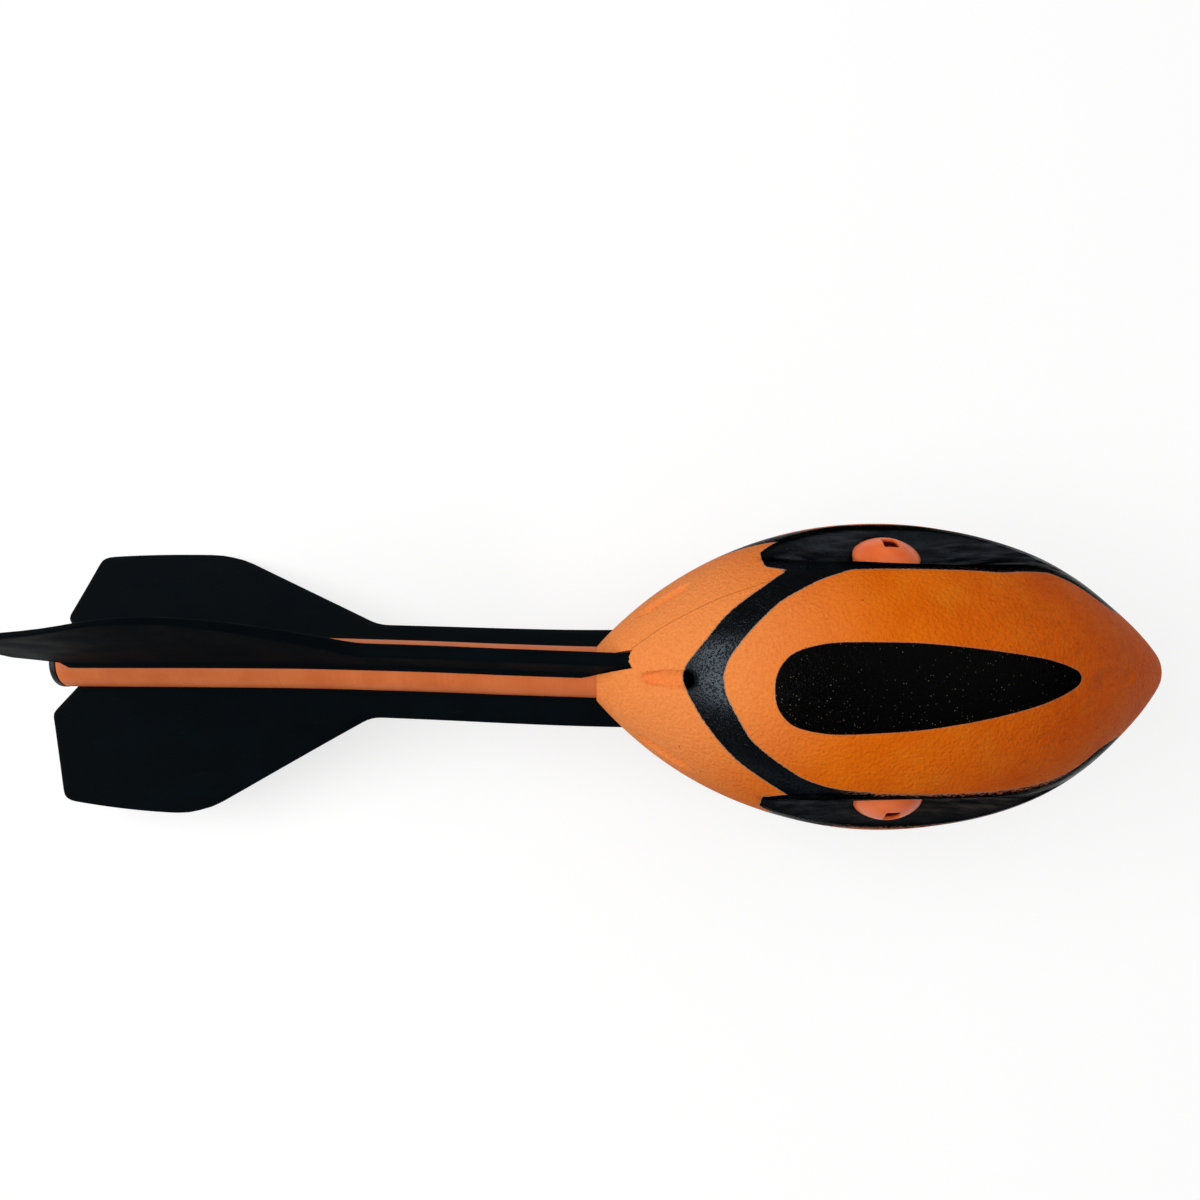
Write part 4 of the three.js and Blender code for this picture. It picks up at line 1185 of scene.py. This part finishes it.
def tidy_body(made):
    """Drops loose points and turns all faces outwards."""
    shape = bmesh.new()
    shape.from_mesh(made.data)
    bmesh.ops.delete(shape, geom=[v for v in shape.verts if not v.link_faces], context="VERTS")
    bmesh.ops.recalc_face_normals(shape, faces=shape.faces)
    shape.to_mesh(made.data)
    shape.free()


def keep_place(made, shift=0):
    """Stores each point's place in the toy's frame, for the grain of its material."""
    store(made, "place", toy_points(made) + shift)


# %% [markdown]
# ## Rubber for the fins
# The fins are dull soft rubber, nearly black with a touch of blue, and scuffed lengthwise from
# handling. Rubber scatters little light, so it has almost no shine, and its lumps are a bump.

# %% Rubber for the fins
RUBBER, RUBBER_LIGHT, RUBBER_SCUFF = rgb(3, 8, 11), rgb(6, 13, 18), rgb(22, 29, 35)
RUBBER_ROUGH, RUBBER_REFLECTS, RUBBER_SCUFF_SHARE = (0.62, 0.8), 0.03, 0.3
RUBBER_GRAIN, RUBBER_LUMPS = 0.03, 0.05  # heights in millimetres
fin_material, tree, output = new_material("fin_rubber")
place = read_vector(tree, "place")
mottle = cloud(tree, place, 11, detail=3)
colour = mixed(tree, ramp_between(tree, mottle, *CLOUD_RANGE), RUBBER, RUBBER_LIGHT)
scuff = ramp_between(tree, cloud(tree, place, 2.2, stretch=(5, 1, 1), detail=4, rough=0.7), 0.62, 0.74)
colour = mixed(tree, times(tree, scuff, RUBBER_SCUFF_SHARE), colour, RUBBER_SCUFF)
rough = ramp_between(tree, mottle, *CLOUD_RANGE, *RUBBER_ROUGH)
lumps = times(tree, cloud(tree, place, 0.5, detail=3, rough=0.65), RUBBER_GRAIN)
lumps = plus(tree, lumps, times(tree, cloud(tree, place, 3, detail=2), RUBBER_LUMPS))
finish_with(tree, output, colour, rough, bumped(tree, lumps), Specular_IOR_Level=RUBBER_REFLECTS)
print("nodes for the rubber:", len(tree.nodes))

# %% Three fins
FIN_NAMES = ["fin_top", "fin_right", "fin_left"]
# Sideways sets of the outer edge in millimetres, at places along the fin
SET_PLACES = [-8, 20, 50, 80, 115, 180]
FIN_SETS = [[-4.4, -3.4, 1.3, 3, 0.3, 0], [0.7, 0.4, 0, -0.1, 0, 0], [0, 0.2, -0.3, -0.5, 0, 0]]
FIN_GRAIN_STEP = 90  # moves the grain on, so that no two fins look alike


def fin_bend(number):
    """The set that a soft fin has taken, different for each."""
    sets = through(np.stack([SET_PLACES, FIN_SETS[number]], axis=1))

    def bend(x, y):
        height = np.clip((y - FIN_ROOT) / FIN_REACH, 0, 1)
        return height**1.5 * np.interp(x, *sets.T)
    return bend


for number, name in enumerate(FIN_NAMES):
    points, faces = fin_plate(fin_bend(number))
    points = turn_about_line(twisted(points), THIRD * number - HEAD_TURN)
    fin = make_object(name + "_rubber", leaning(points), faces)
    tidy_body(fin)
    keep_place(fin, shift=FIN_GRAIN_STEP * number)
    dress(fin, fin_material, "fin", name)
    print(name, "open edges:", open_edges(fin), "faces:", len(fin.data.polygons))


# %% [markdown]
# ## Tube and tail cap
# The tube is an extruded orange plastic pipe. Its surface shows faint rings across it. Both it
# and the cap are turned bodies, so their profiles are drawn and spun, with every edge rounded
# as moulding leaves it.

# %% Profiles of the tube and the cap
TURN_SIDES = 80
BORE = 6
EDGE = 0.35
MIDDLE_FROM, MIDDLE_RINGS = 4, 60  # even rings between, so that the tube can bend


def arc_points(x, r, radius, start, end, steps=4):
    """Points of a small rounding in a profile, with angles in degrees from the line's direction."""
    turns = np.radians(np.linspace(start, end, steps + 1))
    return [(x + radius * math.cos(a), r + radius * math.sin(a)) for a in turns]


def turned_body(profile):
    """A ring-shaped body from a closed profile of [place, radius] points."""
    turns = np.linspace(0, 2 * np.pi, TURN_SIDES, endpoint=False)
    rings = [ring_points(place, turns, r) for place, r in profile]
    faces = tube_faces(len(profile) + 1, TURN_SIDES)
    total = len(profile) * TURN_SIDES
    return np.concatenate(rings), [tuple(i % total for i in face) for face in faces]


middle_x = np.linspace(MIDDLE_FROM, TUBE_LENGTH - MIDDLE_FROM, MIDDLE_RINGS)
back_x = np.linspace(TUBE_LENGTH - MIDDLE_FROM, MIDDLE_FROM, MIDDLE_RINGS)
tube_profile = arc_points(EDGE, BORE + EDGE, EDGE, 270, 180)
tube_profile += arc_points(EDGE, TUBE_RADIUS - EDGE, EDGE, 180, 90)
tube_profile += [(x, TUBE_RADIUS) for x in middle_x]
tube_profile += arc_points(TUBE_LENGTH - EDGE, TUBE_RADIUS - EDGE, EDGE, 90, 0)
tube_profile += arc_points(TUBE_LENGTH - EDGE, BORE + EDGE, EDGE, 0, -90)
tube_profile += [(x, BORE) for x in back_x]

CAP_SEAT, CAP_FACE = -0.15, -2.1
cap_profile = [(CAP_FACE + 0.35, 0), (CAP_FACE + 0.35, 1.1), (CAP_FACE + 0.5, 1.3), (CAP_FACE + 0.25, 4.2)]
cap_profile += [(CAP_FACE, 5.2)]
cap_profile += arc_points(CAP_FACE + 1, TUBE_RADIUS - 0.9, 1, 180, 95, 6)
cap_profile += [(CAP_SEAT, TUBE_RADIUS + 0.1), (CAP_SEAT, 5.7), (11, 5.7), (12, 4.9), (12, 4.3)]
cap_profile += [(0.5, 4.3), (0.5, 0)]
print("profile points of tube and cap:", len(tube_profile), len(cap_profile))

# %% [markdown]
# ## Moulded plastics
# Tube, cap and whistles are moulded plastic: even in colour, with soft clouds, fine scratches
# that change the shine, and on the tube faint rings left by its making. One function makes all
# three, because they only differ in colour, shine and rings.

# %% Plastics
PLASTIC_CLOUDS, PLASTIC_LUMPS, SCRATCH_SIZE, RING_SIZE = 9, 2.4, 0.35, 1.1
LUMP_HEIGHT, SCRATCH_DEPTH, RING_SHARE, PLASTIC_REFLECTS = 0.03, 0.006, 0.35, 0.25


def moulded_plastic(name, light, deep, rough_low, rough_high, ring_depth=0.0):
    """Moulded plastic: soft changes of colour, fine scratches, and rings across it if asked."""
    material, tree, output = new_material(name)
    place = read_vector(tree, "place")
    clouds = ramp_between(tree, cloud(tree, place, PLASTIC_CLOUDS, detail=3), *CLOUD_RANGE)
    colour = mixed(tree, clouds, light, deep)
    height = times(tree, cloud(tree, place, PLASTIC_LUMPS, detail=3), LUMP_HEIGHT)
    if ring_depth:
        rings = cloud(tree, place, RING_SIZE, stretch=(1, 60, 60), detail=3, rough=0.7)
        rings = ramp_between(tree, rings, 0.35, 0.68)
        colour = mixed(tree, times(tree, rings, RING_SHARE), colour, deep)
        height = plus(tree, height, times(tree, rings, ring_depth))
    scratches = cloud(tree, place, SCRATCH_SIZE, stretch=(12, 1, 1), detail=2)
    rough = ramp_between(tree, scratches, 0.3, 0.75, rough_low, rough_high)
    height = plus(tree, height, times(tree, scratches, SCRATCH_DEPTH))
    finish_with(tree, output, colour, rough, bumped(tree, height), Specular_IOR_Level=PLASTIC_REFLECTS)
    return material


tube_colours = (rgb(234, 127, 68), rgb(223, 113, 55))
cap_colours = (rgb(15, 14, 15), rgb(9, 9, 10))
whistle_colours = (rgb(253, 129, 72), rgb(242, 103, 40))
tube_material = moulded_plastic("tube_plastic", *tube_colours, 0.42, 0.55, ring_depth=0.03)
cap_material = moulded_plastic("cap_plastic", *cap_colours, 0.42, 0.55)
whistle_material = moulded_plastic("whistle_plastic", *whistle_colours, 0.3, 0.42)
print("plastics:", tube_material.name, cap_material.name, whistle_material.name)

# %% Tube and tail cap
def dressed_turning(name, body, material, slot, node):
    """A turned piece that goes with the bent tube, dressed and in its node's place."""
    made = make_object(name, leaning(body[0]), body[1])
    tidy_body(made)
    keep_place(made)
    dress(made, material, slot, node)
    return made


tube = dressed_turning("tube_shell", turned_body(tube_profile), tube_material, "tube", "shaft_tube")
cap = dressed_turning("tail_cap_plug", lathe(cap_profile, TURN_SIDES), cap_material, "plug", "tail_cap")
print("open edges of tube and cap:", open_edges(tube), open_edges(cap))

# %% [markdown]
# ## The whistles
# A whistle is a domed plastic cap over a cup in the foam. Air climbs a ramp on the nose side
# and breaks on the edge of a small square slot, which sings. The cap is first put together
# from plain solids, then rebuilt from fine cubes: that rounds every edge a little, as moulding
# does, and keeps the shell closed.

# %% The cap's solids
WHISTLE_WALL = 1.2
WHISTLE_FOOT = WHISTLE_TOP - WHISTLE_DOME
DOME_RADIUS = WHISTLE_RADIUS - 0.15
DOME_SIDES = 72
SWELL = 2.9  # the cap is widest this much above its foot
DOME_RISE = 4.8
FULLNESS = 1.6  # a dome is full at 2 and pointed at 1
SLOT_REAR, SLOT_FRONT, SLOT_HALF = -1.7, 2.5, 2.6
LIP_STEP = 0.18  # the dome behind the slot stands this much higher, which makes the lip
SHOULDER = 2
SKIRT_LESS = (0.7, 0.6, 0.15)  # how much narrower the skirt is at its low end, the foot and the shoulder
SEAM_GAP, LID_OVER = 0.15, 4
HAIR = 0.02  # keeps the skirts of both domes from lying in one place
REAR_INSET, FAN_INSET, ROOM_OVERRUN = 0.5, 1, 2  # measured from the skirt's low end
SLOT_FAN = [(0, SLOT_HALF), (-3.6, 4.1), (-10.3, 7.5)]  # [from the slot's rear edge, half width]


def whistle_solid(body):
    """A body in the whistle's own place as a mesh object of its own."""
    made = make_object("whistle_part", body[0], body[1])
    tidy_body(made)
    return made


def bun(radius, rise, low):
    """A solid with a skirt that widens upwards and a dome on it."""
    turns = np.linspace(0, np.pi / 2, 17)
    side = radius * np.cos(turns) ** (2 / FULLNESS)
    up = WHISTLE_FOOT + SWELL + rise * np.maximum(1 - (side / radius) ** FULLNESS, 0) ** (1 / FULLNESS)
    skirt = zip((low, WHISTLE_FOOT, WHISTLE_FOOT + SHOULDER), SKIRT_LESS)
    profile = [(place, radius - less) for place, less in skirt]
    profile += list(zip(up[:-1], side[:-1])) + [(up[-1], 1e-3)]
    return whistle_solid(lathe(profile, DOME_SIDES, along_line=False))


def prism(corners):
    """Points and faces of an upright body over an outline of [x, y, low, high] corners."""
    count = len(corners)
    points = [(x, y, low) for x, y, low, _ in corners] + [(x, y, high) for x, y, _, high in corners]
    sides = [(i, (i + 1) % count, (i + 1) % count + count, i + count) for i in range(count)]
    return np.array(points), [tuple(range(count)), tuple(range(count, 2 * count))] + sides


low = WHISTLE_SEAM + SEAM_GAP
lid = WHISTLE_TOP + LID_OVER
whistle_cap = bun(DOME_RADIUS - HAIR, DOME_RISE - LIP_STEP, low)
rear_dome = bun(DOME_RADIUS, DOME_RISE, low + REAR_INSET)
fan = [(SLOT_REAR + x, y) for x, y in SLOT_FAN]
fan += [(x, -y) for x, y in fan[::-1]]
combine(rear_dome, whistle_solid(prism([(x, y, low + FAN_INSET, lid) for x, y in fan])), "INTERSECT")
combine(whistle_cap, rear_dome, "UNION")
room_rise = DOME_RISE - WHISTLE_WALL - LIP_STEP
combine(whistle_cap, bun(DOME_RADIUS - WHISTLE_WALL, room_rise, low - ROOM_OVERRUN))
square = [(SLOT_REAR, -SLOT_HALF), (SLOT_REAR, SLOT_HALF), (SLOT_FRONT, SLOT_HALF), (SLOT_FRONT, -SLOT_HALF)]
combine(whistle_cap, whistle_solid(prism([(x, y, WHISTLE_SEAM, lid) for x, y in square])))
print("open edges of the cap's solids:", open_edges(whistle_cap))

# %% Fine cubes and three caps
CUBE = 0.24
SOFTEN_SHARE, SOFTEN_ROUNDS = 0.5, 3
WHISTLE_GRAIN_STEP = 60
cubes = whistle_cap.modifiers.new("cubes", "REMESH")
cubes.mode, cubes.voxel_size = "VOXEL", CUBE * MM
softened = whistle_cap.modifiers.new("soft", "SMOOTH")
softened.factor, softened.iterations = SOFTEN_SHARE, SOFTEN_ROUNDS
apply_modifiers(whistle_cap)
cap_points = toy_points(whistle_cap) + [WHISTLE_AT, 0, 0]
cap_faces = [tuple(face.vertices) for face in whistle_cap.data.polygons]
bpy.data.objects.remove(whistle_cap)
for number in range(3):
    points = turn_about_line(cap_points, THIRD * (number + 0.5))
    whistle = make_object(f"whistle_dome_{number + 1}", points, cap_faces)
    keep_place(whistle, shift=WHISTLE_GRAIN_STEP * number)
    dress(whistle, whistle_material, "whistle", f"whistle_cap_{number + 1}")
print("each cap:", len(cap_faces), "faces")

# %% [markdown]
# ## Pieces that stay as the CAD made them
# The cups under the whistles and the plug at the tube's front end sit inside the foam, and
# only a glimpse of a cup shows through a slot. Their CAD shapes are right, so they only get
# the plastics of the pieces they belong to.

# %% Plastics for the hidden pieces
for name in ["front_stop", "whistle_cup_1", "whistle_cup_2", "whistle_cup_3"]:
    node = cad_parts[name]
    store(node, "place", toy_points(node))
    node.data.materials.clear()
    node.data.materials.append(cap_material if name == "front_stop" else whistle_material)

# %% [markdown]
# ## Last lines
# The view shows the colours with the plain standard curve.

# %% Finish
bpy.context.scene.view_settings.view_transform = "Standard"
